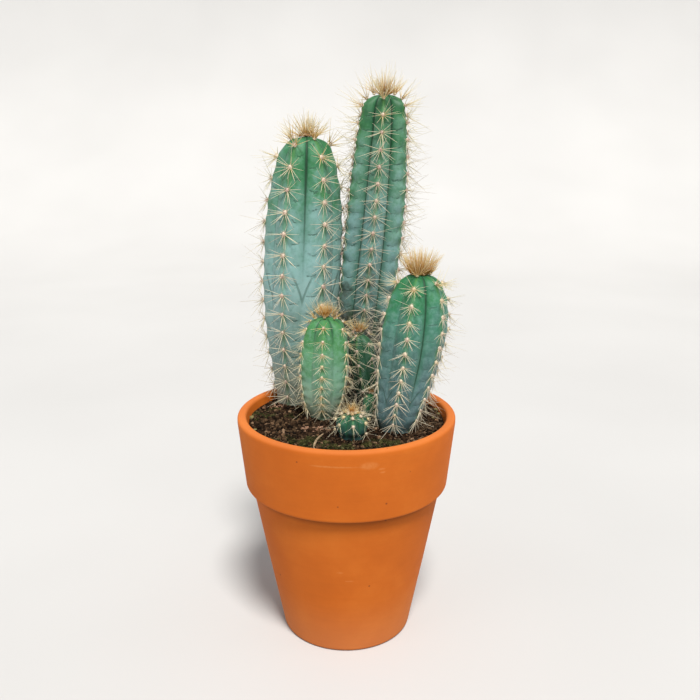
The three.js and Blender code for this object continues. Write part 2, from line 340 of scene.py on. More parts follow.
# Fired clay, pressed in a mould and left unglazed: dry and even, with fine dark specks of grog,
# clouds of about 45 mm from the kiln, and paler rubs where it has knocked against other pots
def firedClay():
    material = bareMaterial("firedClay")
    place = addNode(material, "ShaderNodeTexCoord").outputs["Object"]
    kiln = addNode(material, "ShaderNodeTexNoise", {"Scale": 22, "Detail": 5, "Roughness": 0.6},
                   {"Vector": place})
    clay = addNode(material, "ShaderNodeValToRGB", links={"Fac": kiln})
    setStops(clay, [(0.3, "#bb5e17"), (0.5, "#c26319"), (0.72, "#ca6c20")])

    # Faint level streaks from the mould, about 2 mm high
    level = addNode(material, "ShaderNodeMapping", {"Scale": (30, 30, 480)}, {"Vector": place})
    streak = addNode(material, "ShaderNodeTexNoise", {"Scale": 1, "Detail": 3}, {"Vector": level})
    streakShade = addNode(material, "ShaderNodeMapRange",
                          {"From Min": 0.3, "From Max": 0.7, "To Min": 0.985, "To Max": 1.015},
                          {"Value": streak})
    streaked = addNode(material, "ShaderNodeVectorMath", links={0: clay, 1: streakShade},
                       operation="MULTIPLY")

    # Specks a few centimetres apart, drawn about 1 mm wide, twice their real size, so that they show
    grog = addNode(material, "ShaderNodeTexVoronoi", {"Scale": 210}, {"Vector": place})
    speck = addNode(material, "ShaderNodeMapRange",
                    {"From Min": 0.1, "From Max": 0.16, "To Min": 1, "To Max": 0}, {"Value": grog})
    chosen = addNode(material, "ShaderNodeSeparateColor", links={"Color": grog.outputs["Color"]})
    rare = addNode(material, "ShaderNodeMath", {1: 0.965}, {0: chosen}, operation="GREATER_THAN")
    speckMask = addNode(material, "ShaderNodeMath", links={0: speck, 1: rare}, operation="MULTIPLY")
    specked = addNode(material, "ShaderNodeMix", {7: linear("#8a4419")}, {0: speckMask, 6: streaked},
                      data_type="RGBA")

    # Each rub is a soft ball round its place, worn ragged by a noise of about 2 mm
    ragged = addNode(material, "ShaderNodeTexNoise", {"Scale": 500, "Detail": 4}, {"Vector": place})
    colour = specked
    for centre, (halfWidth, halfHeight) in pot["rubs"]:
        size = (1 / halfWidth, 1 / pot["rubDepth"], 1 / halfHeight)
        shift = [-c * s for c, s in zip(centre, size)]
        near = addNode(material, "ShaderNodeMapping", {"Location": shift, "Scale": size},
                       {"Vector": place})
        ball = addNode(material, "ShaderNodeTexGradient", links={"Vector": near},
                       gradient_type="SPHERICAL")
        worn = addNode(material, "ShaderNodeMath", links={0: ball.outputs["Fac"], 1: ragged},
                       operation="MULTIPLY")
        mask = addNode(material, "ShaderNodeMapRange",
                       {"From Min": 0.08, "From Max": 0.34, "To Max": 0.24}, {"Value": worn})
        rub = addNode(material, "ShaderNodeMix", {7: linear("#dc9a5c")}, {0: mask, 6: colour},
                      data_type="RGBA")
        colour = rub

    # Paler towards the foot, and a painted highlight along the lip
    height = addNode(material, "ShaderNodeSeparateXYZ", links={"Vector": place}).outputs["Z"]
    paleFoot = addNode(material, "ShaderNodeMapRange", {"From Min": 0.045, "From Max": 0, "To Max": 0.28},
                    {"Value": height}, interpolation_type="SMOOTHSTEP")
    lipHighlight = addNode(material, "ShaderNodeMapRange",
                  {"From Min": pot["height"] - pot["lipRounding"], "From Max": pot["height"] - 0.0002,
                   "To Max": 0.18}, {"Value": height})
    paleFootAndHighlight = addNode(material, "ShaderNodeMath", links={0: paleFoot, 1: lipHighlight}, operation="MAXIMUM")
    paled = addNode(material, "ShaderNodeMix", {7: linear("#d3905f")}, {0: paleFootAndHighlight, 6: colour},
                    data_type="RGBA")

    # Painted shade in the corner under the collar, darkest right below it
    corner = addNode(material, "ShaderNodeMapRange",
                     {"From Min": pot["neckHeight"] - pot["collarShadeHeight"], "From Max": pot["neckHeight"],
                      "To Max": 0.6}, {"Value": height}, interpolation_type="SMOOTHSTEP")
    below = addNode(material, "ShaderNodeMath", {1: pot["neckHeight"] + 0.0005}, {0: height},
                    operation="LESS_THAN")
    collarShadeMask = addNode(material, "ShaderNodeMath", links={0: corner, 1: below}, operation="MULTIPLY")
    collarShaded = addNode(material, "ShaderNodeMix", {7: linear("#5e2f10")}, {0: collarShadeMask, 6: paled},
                    data_type="RGBA")

    # Grain of about 0.5 mm
    grain = addNode(material, "ShaderNodeTexNoise", {"Scale": 1900, "Detail": 3}, {"Vector": place})
    bump = addNode(material, "ShaderNodeBump", {"Strength": 0.22, "Distance": 0.0004}, {"Height": grain})
    surface(material, collarShaded, bump, {"Roughness": 0.8, "Diffuse Roughness": 0.25, "IOR": 1.3})
    return material


def makePot():
    collarLow = pot["neckHeight"] + pot["collarRounding"]
    lipHeight = pot["height"] - pot["lipRounding"]
    lipInside = pot["rimRadius"] - pot["lipThickness"] + pot["lipRounding"]
    insideFloor = innerRadius(pot["floorThickness"])
    profile = [
        (pot["drainRadius"], 0),
        *arc(pot["footRadius"] - pot["footRounding"], pot["footRounding"], pot["footRounding"], -90, -10),
        (lerp(pot["footRadius"], pot["neckRadius"], 0.5), pot["neckHeight"] / 2),
        (pot["neckRadius"], pot["neckHeight"]),
        *arc(pot["collarRadius"] - pot["collarRounding"], collarLow, pot["collarRounding"], -90, 0),
        (pot["rimRadius"], pot["height"] - pot["rimStraight"]),
        *arc(pot["rimRadius"] - pot["lipRounding"], lipHeight, pot["lipRounding"], 0, 90),
        *arc(lipInside, lipHeight, pot["lipRounding"], 90, 180),
        (lerp(insideFloor, pot["rimRadius"] - pot["lipThickness"], 0.5), pot["height"] / 2),
        (insideFloor, pot["floorThickness"]),
        (pot["drainRadius"], pot["floorThickness"]),
        (pot["drainRadius"], 0),
    ]
    flowerPot = raised("flowerPot", profile, pot["sides"], False)
    bpy.ops.mesh.select_all(action="SELECT")
    bpy.ops.mesh.remove_doubles(threshold=0.00001)
    bpy.ops.mesh.normals_make_consistent(inside=False)
    bpy.ops.object.mode_set(mode="OBJECT")
    bpy.ops.object.shade_smooth_by_angle(angle=math.radians(35))
    flowerPot.data.materials.append(firedClay())
    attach(flowerPot, "root")
    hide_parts("pot")


# The stems. The notes in the first one hold for all.

soilAtStems = 0.146
buriedDepth = 0.014
straightAboveSoil = 0.0025

stems = [
    {
        "node": "stem_left_tall", "name": "LeftTall",
        # centre at the soil, how far the top leans, and 0 for a straight lean or 1 for one low down
        "at": (-0.0332, 0.033), "lean": (0.0084, -0.0035), "arch": 0, "height": 0.1772,
        # height and radius over the rib crests
        "outline": [(0, 0.0144), (0.022, 0.018), (0.05, 0.0228), (0.078, 0.0255), (0.104, 0.0254),
                    (0.13, 0.0243), (0.156, 0.02), (0.169, 0.0156), (0.1752, 0.0084)],
        # degrees of the first rib, and the depth of the grooves at foot and top as a share of the radius
        "ribs": 6, "turn": -26, "groove": (0.08, 0.22),
        # areoles: how far the first are from the tip on even and odd ribs, their spacing, how much closer
        # they are at the foot, and how far the rib stands out at each
        "first": (0.0016, 0.0098), "pitch": 0.0144, "crowding": 0.22, "swell": 0.0004,
        # how tight each furrow is, which also sets its painted shade and painted shadow line, and where
        # up the stem it fades in
        "furrows": (1, 0.2, 0.4, 0.3, 0.4, 0.2), "fadeIn": (0.42, 0.9),
        # strength of the flank creases, in depth and in painted shade, their half length, and where up
        # the stem a furrow forks
        "crease": (0.58, 0.3), "fork": 0.412,
        # size and colour of the felt
        "wool": 1.15, "woolTone": 0.44,
        # side spines: length, thickness as a share of the thickest, how brown they are low down and at
        # the tip, how far they swing down, and the share left out
        "spine": 0.0146, "spineWidth": 1.02, "spineTone": (0.16, 0.55), "chevron": 0.1, "thinned": 0.06,
        # spines that stand out: number, length as a share of the side ones, turn from straight down, and
        # the number added on each of the topmost areoles
        "centrals": 3, "central": 1.15, "centralTurn": 180, "bush": 5,
        # spines at the tip: length, number, how far down, at what tilt and how brown they grow
        "crown": 0.0175, "brush": 46, "brushWidth": 0.0056, "brushSpread": 68, "brushTone": 0.6,
        # strength of the pale wax, and the skin's colours from foot to tip
        "bloom": 0.33,
        "colours": [(0, "#959a88"), (0.16, "#82958b"), (0.27, "#72938d"), (0.4, "#88a9a5"),
                    (0.52, "#82aaa6"), (0.74, "#5f8e7d"), (0.88, "#3a7a50"), (1, "#286d3c")],
    },
    {
        "node": "stem_back_tall", "name": "BackTall",
        "at": (0.005, 0.0405), "lean": (0.019, -0.0025), "arch": 0.55, "height": 0.2025,
        "outline": [(0, 0.0134), (0.028, 0.0178), (0.068, 0.0205), (0.108, 0.0212), (0.143, 0.0206),
                    (0.169, 0.0187), (0.184, 0.017), (0.1945, 0.0148), (0.2, 0.0104)],
        "ribs": 6, "turn": -3, "groove": (0.2, 0.4),
        "first": (0.0026, 0.0074), "pitch": 0.0106, "crowding": 0.1, "swell": 0.0009,
        "furrows": (1, 0.6, 0.6, 0.6, 0.6, 1), "fadeIn": (0.05, 0.5),
        "crease": (0.62, 0.36), "fork": 0,
        "wool": 0.9, "woolTone": 0.4,
        "spine": 0.0123, "spineWidth": 0.9, "spineTone": (0.12, 0.5), "chevron": 0.1, "thinned": 0.06,
        "centrals": 4, "central": 1.6, "centralTurn": 180, "bush": 4,
        "crown": 0.018, "brush": 84, "brushWidth": 0.0042, "brushSpread": 60, "brushTone": 0.66,
        "bloom": 0.33,
        "colours": [(0, "#3a2f26"), (0.2, "#443b30"), (0.32, "#4c5851"), (0.42, "#62857f"),
                    (0.52, "#6f9592"), (0.65, "#5f8a78"), (0.8, "#4b7d5e"), (0.91, "#2d6b3d"),
                    (1, "#255d34")],
    },
    {
        "node": "stem_right", "name": "Right",
        "at": (0.0313, -0.021), "lean": (0.013, 0.009), "arch": 1, "height": 0.0975,
        "outline": [(0, 0.0108), (0.005, 0.0132), (0.012, 0.0153), (0.032, 0.0184), (0.052, 0.0208),
                    (0.064, 0.0211), (0.077, 0.0196), (0.087, 0.0161), (0.0945, 0.0102)],
        "ribs": 6, "turn": -16, "groove": (0.08, 0.27),
        "first": (0.0067, 0.0039), "pitch": 0.0112, "crowding": 0.46, "swell": 0.0004,
        "furrows": (0.9, 0.4, 0.5, 0.5, 0.5, 0.15), "fadeIn": (0.14, 0.4),
        "crease": (0.45, 0.32), "fork": 0.19,
        "wool": 1, "woolTone": 0.6,
        "spine": 0.0098, "spineWidth": 0.84, "spineTone": (0.14, 0.62), "chevron": 0.6, "thinned": 0.12,
        "centrals": 3, "central": 1.5, "centralTurn": 150, "bush": 28,
        "crown": 0.0185, "brush": 230, "brushWidth": 0.006, "brushSpread": 31, "brushTone": 0.78,
        "bloom": 0.28,
        "colours": [(0, "#4a6264"), (0.2, "#4b686b"), (0.48, "#426861"), (0.72, "#3d7760"),
                    (0.88, "#237144"), (1, "#196535")],
    },
    {
        "node": "stem_front_left", "name": "FrontLeft",
        "at": (-0.015, -0.0008), "lean": (0.002, -0.0022), "arch": 1, "height": 0.069,
        "outline": [(0, 0.0082), (0.006, 0.0108), (0.014, 0.0138), (0.027, 0.0161), (0.041, 0.0164),
                    (0.053, 0.0152), (0.061, 0.0128), (0.0665, 0.008)],
        "ribs": 6, "turn": -5, "groove": (0.1, 0.25),
        "first": (0.0045, 0.007), "pitch": 0.0094, "crowding": 0.5, "swell": 0.0003,
        "furrows": (0.8, 0.5, 0.5, 0.5, 0.5, 0.7), "fadeIn": (0.72, 0.9),
        "crease": (0.2, 0.25), "fork": 0,
        "wool": 0.72, "woolTone": 0.66,
        "spine": 0.0086, "spineWidth": 0.62, "spineTone": (0.38, 0.68), "chevron": 0.6, "thinned": 0.1,
        "centrals": 2, "central": 1.4, "centralTurn": 110, "bush": 9,
        "crown": 0.0102, "brush": 140, "brushWidth": 0.0026, "brushSpread": 26, "brushTone": 0.86,
        "bloom": 0.33,
        "colours": [(0, "#a0b094"), (0.2, "#92b498"), (0.45, "#6e9f80"), (0.7, "#48854f"),
                    (1, "#34753a")],
    },
    {
        "node": "stem_middle", "name": "Middle",
        "at": (0.016, 0.014), "lean": (-0.0083, -0.003), "arch": 0, "height": 0.056,
        "outline": [(0, 0.006), (0.008, 0.008), (0.022, 0.0091), (0.038, 0.009), (0.048, 0.0078),
                    (0.0535, 0.0052)],
        "ribs": 6, "turn": 40, "groove": (0.12, 0.26),
        "first": (0.0026, 0.0071), "pitch": 0.01, "crowding": 0.15, "swell": 0.0003,
        "furrows": (0.6, 0.5, 0.5, 0.5, 0.5, 0.6), "fadeIn": (0.1, 0.5),
        "crease": (0.2, 0.3), "fork": 0,
        "wool": 0.66, "woolTone": 0.3,
        "spine": 0.008, "spineWidth": 0.56, "spineTone": (0.2, 0.55), "chevron": 0.4, "thinned": 0.36,
        "centrals": 3, "central": 1.5, "centralTurn": 180, "bush": 8,
        "crown": 0.0105, "brush": 64, "brushWidth": 0.0034, "brushSpread": 44, "brushTone": 0.76,
        "bloom": 0.14,
        # dark greens, darkened further as painted shade from the taller stems round it
        "colours": [(0, "#1f3827"), (0.5, "#254c34"), (1, "#235534")],
    },
    {
        "node": "offset_front", "name": "FrontOffset",
        "at": (0.0035, -0.036), "lean": (0, 0), "arch": 1, "height": 0.0165,
        "outline": [(0, 0.0078), (0.0045, 0.0099), (0.0085, 0.0104), (0.0122, 0.0089), (0.0148, 0.0056)],
        "ribs": 7, "turn": 4, "groove": (0.22, 0.4),
        "first": (0.003, 0.0026), "pitch": 0.0033, "crowding": -1.7, "swell": 0.0005,
        "furrows": (1, 1, 1, 1, 1, 1, 1), "fadeIn": (0, 0.3),
        "crease": (0, 0.2), "fork": 0,
        "wool": 0.84, "woolTone": 0.72,
        "spine": 0.0092, "spineWidth": 0.4, "spineTone": (0.24, 0.66), "chevron": 0.5, "thinned": 0.46,
        "centrals": 3, "central": 1.25, "centralTurn": 150, "bush": 6,
        "crown": 0.0082, "brush": 64, "brushWidth": 0.0016, "brushSpread": 17, "brushTone": 0.82,
        "bloom": 0.08,
        # a dark teal green of its own, made darker still as painted shade
        "colours": [(0, "#17333a"), (0.4, "#103a33"), (1, "#175c34")],
    },
    {
        "node": "offset_middle", "name": "MiddleOffset",
        "at": (0.0155, -0.0045), "lean": (0.0005, 0.0005), "arch": 1, "height": 0.019,
        "outline": [(0, 0.0042), (0.0045, 0.0053), (0.01, 0.0057), (0.015, 0.0047), (0.018, 0.0026)],
        "ribs": 6, "turn": 15, "groove": (0.15, 0.25),
        "first": (0.0026, 0.0053), "pitch": 0.006, "crowding": 0.1, "swell": 0.0003,
        "furrows": (0.7, 0.7, 0.7, 0.7, 0.7, 0.7), "fadeIn": (0, 0.4),
        "crease": (0, 0.2), "fork": 0,
        "wool": 0.44, "woolTone": 0.7,
        "spine": 0.0055, "spineWidth": 0.45, "spineTone": (0.05, 0.3), "chevron": 0.4, "thinned": 0.4,
        "centrals": 2, "central": 1.2, "centralTurn": 180, "bush": 3,
        "crown": 0.0058, "brush": 26, "brushWidth": 0.0018, "brushSpread": 36, "brushTone": 0.84,
        "bloom": 0.16,
        "colours": [(0, "#2a5243"), (0.5, "#27643e"), (1, "#25713a")],
    },
]

skin = {
    "columnsPerRib": 6,
    "ringGap": 0.0052,
    "levels": 2,
    "curveSteps": 24,
    # the groove between two ribs: a broad valley, and a furrow in it that is deeper where it is tight
    "valleyShare": 0.85,
    "valleyPower": 1.2,
    "furrowShare": 0.1,
    "tightShare": 0.2,
    "furrowPower": 9,
    # slow waves all over the skin
    "waveSize": 0.016,
    "waveHeight": 0.0004,
    # the flank creases: depth, half width as a share of the spacing, and between which shares of the way
    # from crest to valley they set in and end
    "creaseDepth": 0.00034,
    "creaseWidth": 0.08,
    "creaseStart": (0.05, 0.3),
    "creaseEnd": (0.75, 1),
    # radius under which the bumps die out towards the tip, and how far up its bump an areole sits
    "smoothTip": 0.006,
    "areoleRise": 0.6,
    # the lowest areole's least distance from the foot
    "areoleGap": 0.003,
    # the fork of a furrow: its length up the stem, how it opens and how wide
    "forkLength": 0.115,
    "forkPower": 1.3,
    "forkWidth": 0.62,
}


# A smooth outline through a stem's points: [(distance from the foot, radius, height)]
def tracedOutline(stem):
    footRadius = stem["outline"][0][1]
    upper = [(radius, height) for height, radius in stem["outline"][1:]]
    points = [Vector(p) for p in [(footRadius, straightAboveSoil), *upper, (0, stem["height"])]]
    traced = []
    for i in range(len(points) - 1):
        start, end = points[i], points[i + 1]
        before, after = points[max(i - 1, 0)], points[min(i + 2, len(points) - 1)]
        knots = [start, start + (end - before) / 6, end - (after - start) / 6, end]
        traced += interpolate_bezier(*[knot.to_3d() for knot in knots], skin["curveSteps"])[:-1]
    traced.append(points[-1].to_3d())
    distance = 0
    outline = []
    for i, point in enumerate(traced):
        distance += (point - traced[i - 1]).length if i else 0
        outline.append((distance, point.x, point.y))
    return outline


# Radius and height on the outline at a distance from its foot, with its direction
def onOutline(stem, distance):
    outline = stem["traced"]
    i = min(max(bisect(outline, (distance,)), 1), len(outline) - 1)
    low, high = outline[i - 1], outline[i]
    span = high[0] - low[0]
    share = (distance - low[0]) / span
    slope = Vector((high[1] - low[1], high[2] - low[2])) / span
    return lerp(low[1], high[1], share), lerp(low[2], high[2], share), slope


# Crest radius and distance from the foot at a height
def atHeight(stem, height):
    outline = stem["traced"]
    if height <= outline[0][2]:
        return outline[0][1], height - outline[0][2]
    i = min(bisect(outline, height, key=lambda point: point[2]), len(outline) - 1)
    low, high = outline[i - 1], outline[i]
    share = min(1, (height - low[2]) / (high[2] - low[2]))
    return lerp(low[1], high[1], share), lerp(low[0], high[0], share)


def centreAt(stem, height):
    share = min(1, max(0, (height - straightAboveSoil) / (stem["height"] - straightAboveSoil)))
    bend = lerp(share, math.sin(share * math.pi / 2), stem["arch"])
    return Vector((stem["at"][0] + stem["lean"][0] * bend, stem["at"][1] + stem["lean"][1] * bend))


# Distances from the tip of the areoles down each rib
def areoleRows(stem):
    length = stem["traced"][-1][0]
    rows = []
    for rib in range(stem["ribs"]):
        row = []
        fromTip = stem["first"][rib % 2]
        while fromTip < length - skin["areoleGap"]:
            row.append(fromTip)
            fromTip += stem["pitch"] * (1 - stem["crowding"] * fromTip / length)
        rows.append(row)
    return rows


# How many areoles down from the tip a place on a rib is, with its part between two of them
def areoleCount(row, fromTip):
    i = min(max(bisect(row, fromTip), 1), len(row) - 1)
    return i - 1 + (fromTip - row[i - 1]) / (row[i] - row[i - 1])


# Cactus skin: a thin tough hide, waxy to the touch. Its bloom of wax makes it matt and blue-green on
# old growth, in clouds, and leaves the young top a fresh green. Crests are yellower, and the furrows
# and the small creases between areoles are darkened with painted shade.
def waxyHide(stem):
    material = bareMaterial("waxyHide" + stem["name"])
    place = addNode(material, "ShaderNodeTexCoord").outputs["Object"]
    growth, fromCrest, count, furrow = [
        addNode(material, "ShaderNodeAttribute", attribute_name=name).outputs["Fac"]
        for name in ("growth", "fromCrest", "areoleCount", "furrow")]

    # The colour of each height drifts up and down by a cloudy noise, 15 mm across
    cloud = addNode(material, "ShaderNodeTexNoise", {"Scale": 65, "Detail": 6, "Roughness": 0.66},
                    {"Vector": place})
    drift = addNode(material, "ShaderNodeMapRange",
                    {"From Min": 0.3, "From Max": 0.7, "To Min": -0.16, "To Max": 0.16}, {"Value": cloud})
    height = addNode(material, "ShaderNodeMath", links={0: growth, 1: drift}, operation="ADD")
    green = addNode(material, "ShaderNodeValToRGB", links={"Fac": height})
    setStops(green, stem["colours"])

    # The bloom is thick in some spots of about 3 mm and rubbed thin in others
    spots = addNode(material, "ShaderNodeTexNoise", {"Scale": 300, "Detail": 7, "Roughness": 0.7},
                    {"Vector": place})
    bloom = addNode(material, "ShaderNodeMapRange",
                    {"From Min": 0.44, "From Max": 0.7, "To Max": stem["bloom"]}, {"Value": spots})
    aged = addNode(material, "ShaderNodeMapRange", {"From Min": 0.98, "From Max": 0.8, "To Min": 0.25},
                   {"Value": growth})
    agedBloom = addNode(material, "ShaderNodeMath", links={0: bloom, 1: aged}, operation="MULTIPLY")
    bloomed = addNode(material, "ShaderNodeMix", {7: linear("#93b5b1")}, {0: agedBloom, 6: green},
                      data_type="RGBA")
    thin = addNode(material, "ShaderNodeMapRange", {"From Min": 0.46, "From Max": 0.3, "To Max": 0.4},
                   {"Value": spots})
    rubbed = addNode(material, "ShaderNodeMix", {7: linear("#2a634c")}, {0: thin, 6: bloomed},
                     data_type="RGBA")

    # A yellow-green strip along the crest, 3 to 4 mm wide, strongest below each areole
    part = addNode(material, "ShaderNodeMath", links={0: count}, operation="FRACT")
    strip = addNode(material, "ShaderNodeMapRange", {"From Min": 0.26, "From Max": 0.02},
                    {"Value": fromCrest}, interpolation_type="SMOOTHSTEP")
    below = addNode(material, "ShaderNodeMapRange",
                    {"From Min": 0.95, "From Max": 0.15, "To Min": 0.15, "To Max": 0.62}, {"Value": part})
    stripMask = addNode(material, "ShaderNodeMath", links={0: strip, 1: below}, operation="MULTIPLY")
    crested = addNode(material, "ShaderNodeMix", {7: linear("#50843b")}, {0: stripMask, 6: rubbed},
                      data_type="RGBA")

    # Where the furrow is tight, the valley gets a painted shade of darker green and a dark painted shadow
    # line, wider at the top
    valley = addNode(material, "ShaderNodeMapRange", {"From Min": 0.55, "From Max": 1, "To Max": 0.5},
                     {"Value": fromCrest}, interpolation_type="SMOOTHSTEP")
    valleyShadeMask = addNode(material, "ShaderNodeMath", links={0: valley, 1: furrow}, operation="MULTIPLY")
    shaded = addNode(material, "ShaderNodeMix", {7: linear("#1f6440")}, {0: valleyShadeMask, 6: crested},
                     data_type="RGBA")
    edge = addNode(material, "ShaderNodeMapRange",
                   {"From Min": 0.75, "From Max": 1, "To Min": 0.92, "To Max": 0.77}, {"Value": growth})
    line = addNode(material, "ShaderNodeMapRange", {"From Max": 0.985, "To Max": 0.96},
                   {"Value": fromCrest, "From Min": edge}, interpolation_type="SMOOTHSTEP")
    furrowShadowMask = addNode(material, "ShaderNodeMath", links={0: line, 1: furrow}, operation="MULTIPLY")
    furrowShadowed = addNode(material, "ShaderNodeMix", {7: linear("#123822")}, {0: furrowShadowMask, 6: shaded},
                       data_type="RGBA")

    # A crease across each flank, half way between areoles, a little curved, broken and never quite level,
    # painted dark as shade
    waver = addNode(material, "ShaderNodeMapRange",
                    {"From Min": 0.3, "From Max": 0.7, "To Min": 0.3, "To Max": 0.7}, {"Value": cloud})
    middle = addNode(material, "ShaderNodeMath", {1: 0.55}, {0: fromCrest}, operation="SUBTRACT")
    curve = addNode(material, "ShaderNodeMath", {1: 2}, {0: middle}, operation="POWER")
    level = addNode(material, "ShaderNodeMath", {1: -0.7}, {0: curve, 2: waver}, operation="MULTIPLY_ADD")
    offLevel = addNode(material, "ShaderNodeMath", links={0: part, 1: level}, operation="SUBTRACT")
    away = addNode(material, "ShaderNodeMath", links={0: offLevel}, operation="ABSOLUTE")
    thinLine = addNode(material, "ShaderNodeMapRange", {"From Min": 0.055, "From Max": 0.015},
                       {"Value": away}, interpolation_type="SMOOTHSTEP")
    offMiddle = addNode(material, "ShaderNodeMath", links={0: middle}, operation="ABSOLUTE")
    strength, reach = stem["crease"]
    short = addNode(material, "ShaderNodeMapRange",
                    {"From Min": reach, "From Max": reach * 0.6, "To Max": strength},
                    {"Value": offMiddle}, interpolation_type="SMOOTHSTEP")
    some = addNode(material, "ShaderNodeMapRange", {"From Min": 0.42, "From Max": 0.55}, {"Value": spots})
    shortLine = addNode(material, "ShaderNodeMath", links={0: thinLine, 1: short}, operation="MULTIPLY")
    crease = addNode(material, "ShaderNodeMath", links={0: shortLine, 1: some}, operation="MULTIPLY")

    # Where the furrow opens out, a fine crease runs down each side of it into a point, painted dark as
    # shade
    rise = addNode(material, "ShaderNodeMath", {1: stem["fork"]}, {0: growth}, operation="SUBTRACT")
    upShare = addNode(material, "ShaderNodeMapRange", {"From Max": skin["forkLength"]}, {"Value": rise})
    spread = addNode(material, "ShaderNodeMath", {1: skin["forkPower"]}, {0: upShare}, operation="POWER")
    side = addNode(material, "ShaderNodeMath", {1: -skin["forkWidth"], 2: 1}, {0: spread},
                   operation="MULTIPLY_ADD")
    offSide = addNode(material, "ShaderNodeMath", links={0: fromCrest, 1: side}, operation="SUBTRACT")
    sideAway = addNode(material, "ShaderNodeMath", links={0: offSide}, operation="ABSOLUTE")
    sideLine = addNode(material, "ShaderNodeMapRange", {"From Min": 0.085, "From Max": 0.02},
                       {"Value": sideAway}, interpolation_type="SMOOTHSTEP")
    upFork = addNode(material, "ShaderNodeMapRange",
                     {"From Min": skin["forkLength"], "From Max": skin["forkLength"] * 0.7,
                      "To Max": 0.5 if stem["fork"] else 0}, {"Value": rise})
    aboveFork = addNode(material, "ShaderNodeMapRange", {"From Min": -0.02, "From Max": 0.005},
                        {"Value": rise})
    faded = addNode(material, "ShaderNodeMath", links={0: upFork, 1: aboveFork}, operation="MULTIPLY")
    fork = addNode(material, "ShaderNodeMath", links={0: sideLine, 1: faded}, operation="MULTIPLY")
    # Both kinds of crease are painted dark green as shade, and also shape the bump
    marks = addNode(material, "ShaderNodeMath", links={0: crease, 1: fork}, operation="MAXIMUM")
    creaseShaded = addNode(material, "ShaderNodeMix", {7: linear("#1c4a36")}, {0: marks, 6: furrowShadowed},
                      data_type="RGBA")

    pores = addNode(material, "ShaderNodeBump", {"Strength": 0.3, "Distance": 0.0003}, {"Height": spots})
    folds = addNode(material, "ShaderNodeBump", {"Strength": 0.8, "Distance": 0.0007},
                    {"Height": marks, "Normal": pores}, invert=True)
    surface(material, creaseShaded, folds, {"Roughness": 0.55, "IOR": 1.42, "Sheen Weight": 0.08,
                                       "Sheen Roughness": 0.5})
    return material


# The body of a stem: raised ring by ring up its outline, rounded, then pressed into ribs
def makeSkin(stem):
    length = stem["traced"][-1][0]
    count = max(6, round(length / skin["ringGap"]))
    footRadius = stem["outline"][0][1]
    profile = [(footRadius, -buriedDepth), (footRadius, -buriedDepth / 3)]
    profile += [onOutline(stem, length * i / count)[:2] for i in range(count)]
    hide = raised("skin" + stem["name"], profile, stem["ribs"] * skin["columnsPerRib"], True)
    closeTip()
    applied(hide, "SUBSURF", levels=skin["levels"], render_levels=skin["levels"])

    rows = areoleRows(stem)
    traits = {"growth": [], "fromCrest": [], "areoleCount": [], "furrow": []}
    for vertex in hide.data.vertices:
        x, y, height = vertex.co
        angle = math.atan2(x, -y) + math.radians(stem["turn"])
        ribs = math.atan2(x, -y) * stem["ribs"] / math.tau
        fromCrest = 2 * abs(ribs - round(ribs))
        crest, distance = atHeight(stem, height)
        number = areoleCount(rows[round(ribs) % stem["ribs"]], length - distance)
        growth = height / stem["height"]
        tight = stem["furrows"][math.floor(ribs) % stem["ribs"]] * smooth(growth, *stem["fadeIn"])

        radius = min(math.hypot(x, y), crest) if height > 0 else math.hypot(x, y)
        rise = smooth(height, -buriedDepth / 4, buriedDepth)
        depth = lerp(*stem["groove"], max(0, growth))
        valley = skin["valleyShare"] * fromCrest ** skin["valleyPower"]
        furrow = (skin["furrowShare"] + skin["tightShare"] * tight) * fromCrest ** skin["furrowPower"]
        radius *= 1 - depth * rise * (valley + furrow)
        tubercle = stem["swell"] * math.cos(math.tau * number) * (1 - fromCrest) ** 2
        fold = math.exp(-((number % 1 - 0.5) / skin["creaseWidth"]) ** 2)
        fold *= smooth(fromCrest, *skin["creaseStart"]) * (1 - smooth(fromCrest, *skin["creaseEnd"]))
        fold *= skin["creaseDepth"] * stem["crease"][0]
        wave = noise.noise(Vector((x, y, height)) / skin["waveSize"]) * skin["waveHeight"]
        radius += (tubercle - fold + wave) * rise * min(1, radius / skin["smoothTip"])
        centre = centreAt(stem, height)
        flat = centre + Vector((math.sin(angle), -math.cos(angle))) * radius
        vertex.co = (flat.x, flat.y, soilAtStems + height)
        for name, value in zip(traits, (growth, fromCrest, number, tight)):
            traits[name].append(value)
    for name, values in traits.items():
        hide.data.attributes.new(name, "FLOAT", "POINT").data.foreach_set("value", values)
    hide.data.update()
    pick(hide)
    bpy.ops.object.shade_smooth()
    hide.data.materials.append(waxyHide(stem))
    return hide


# Spines and wool

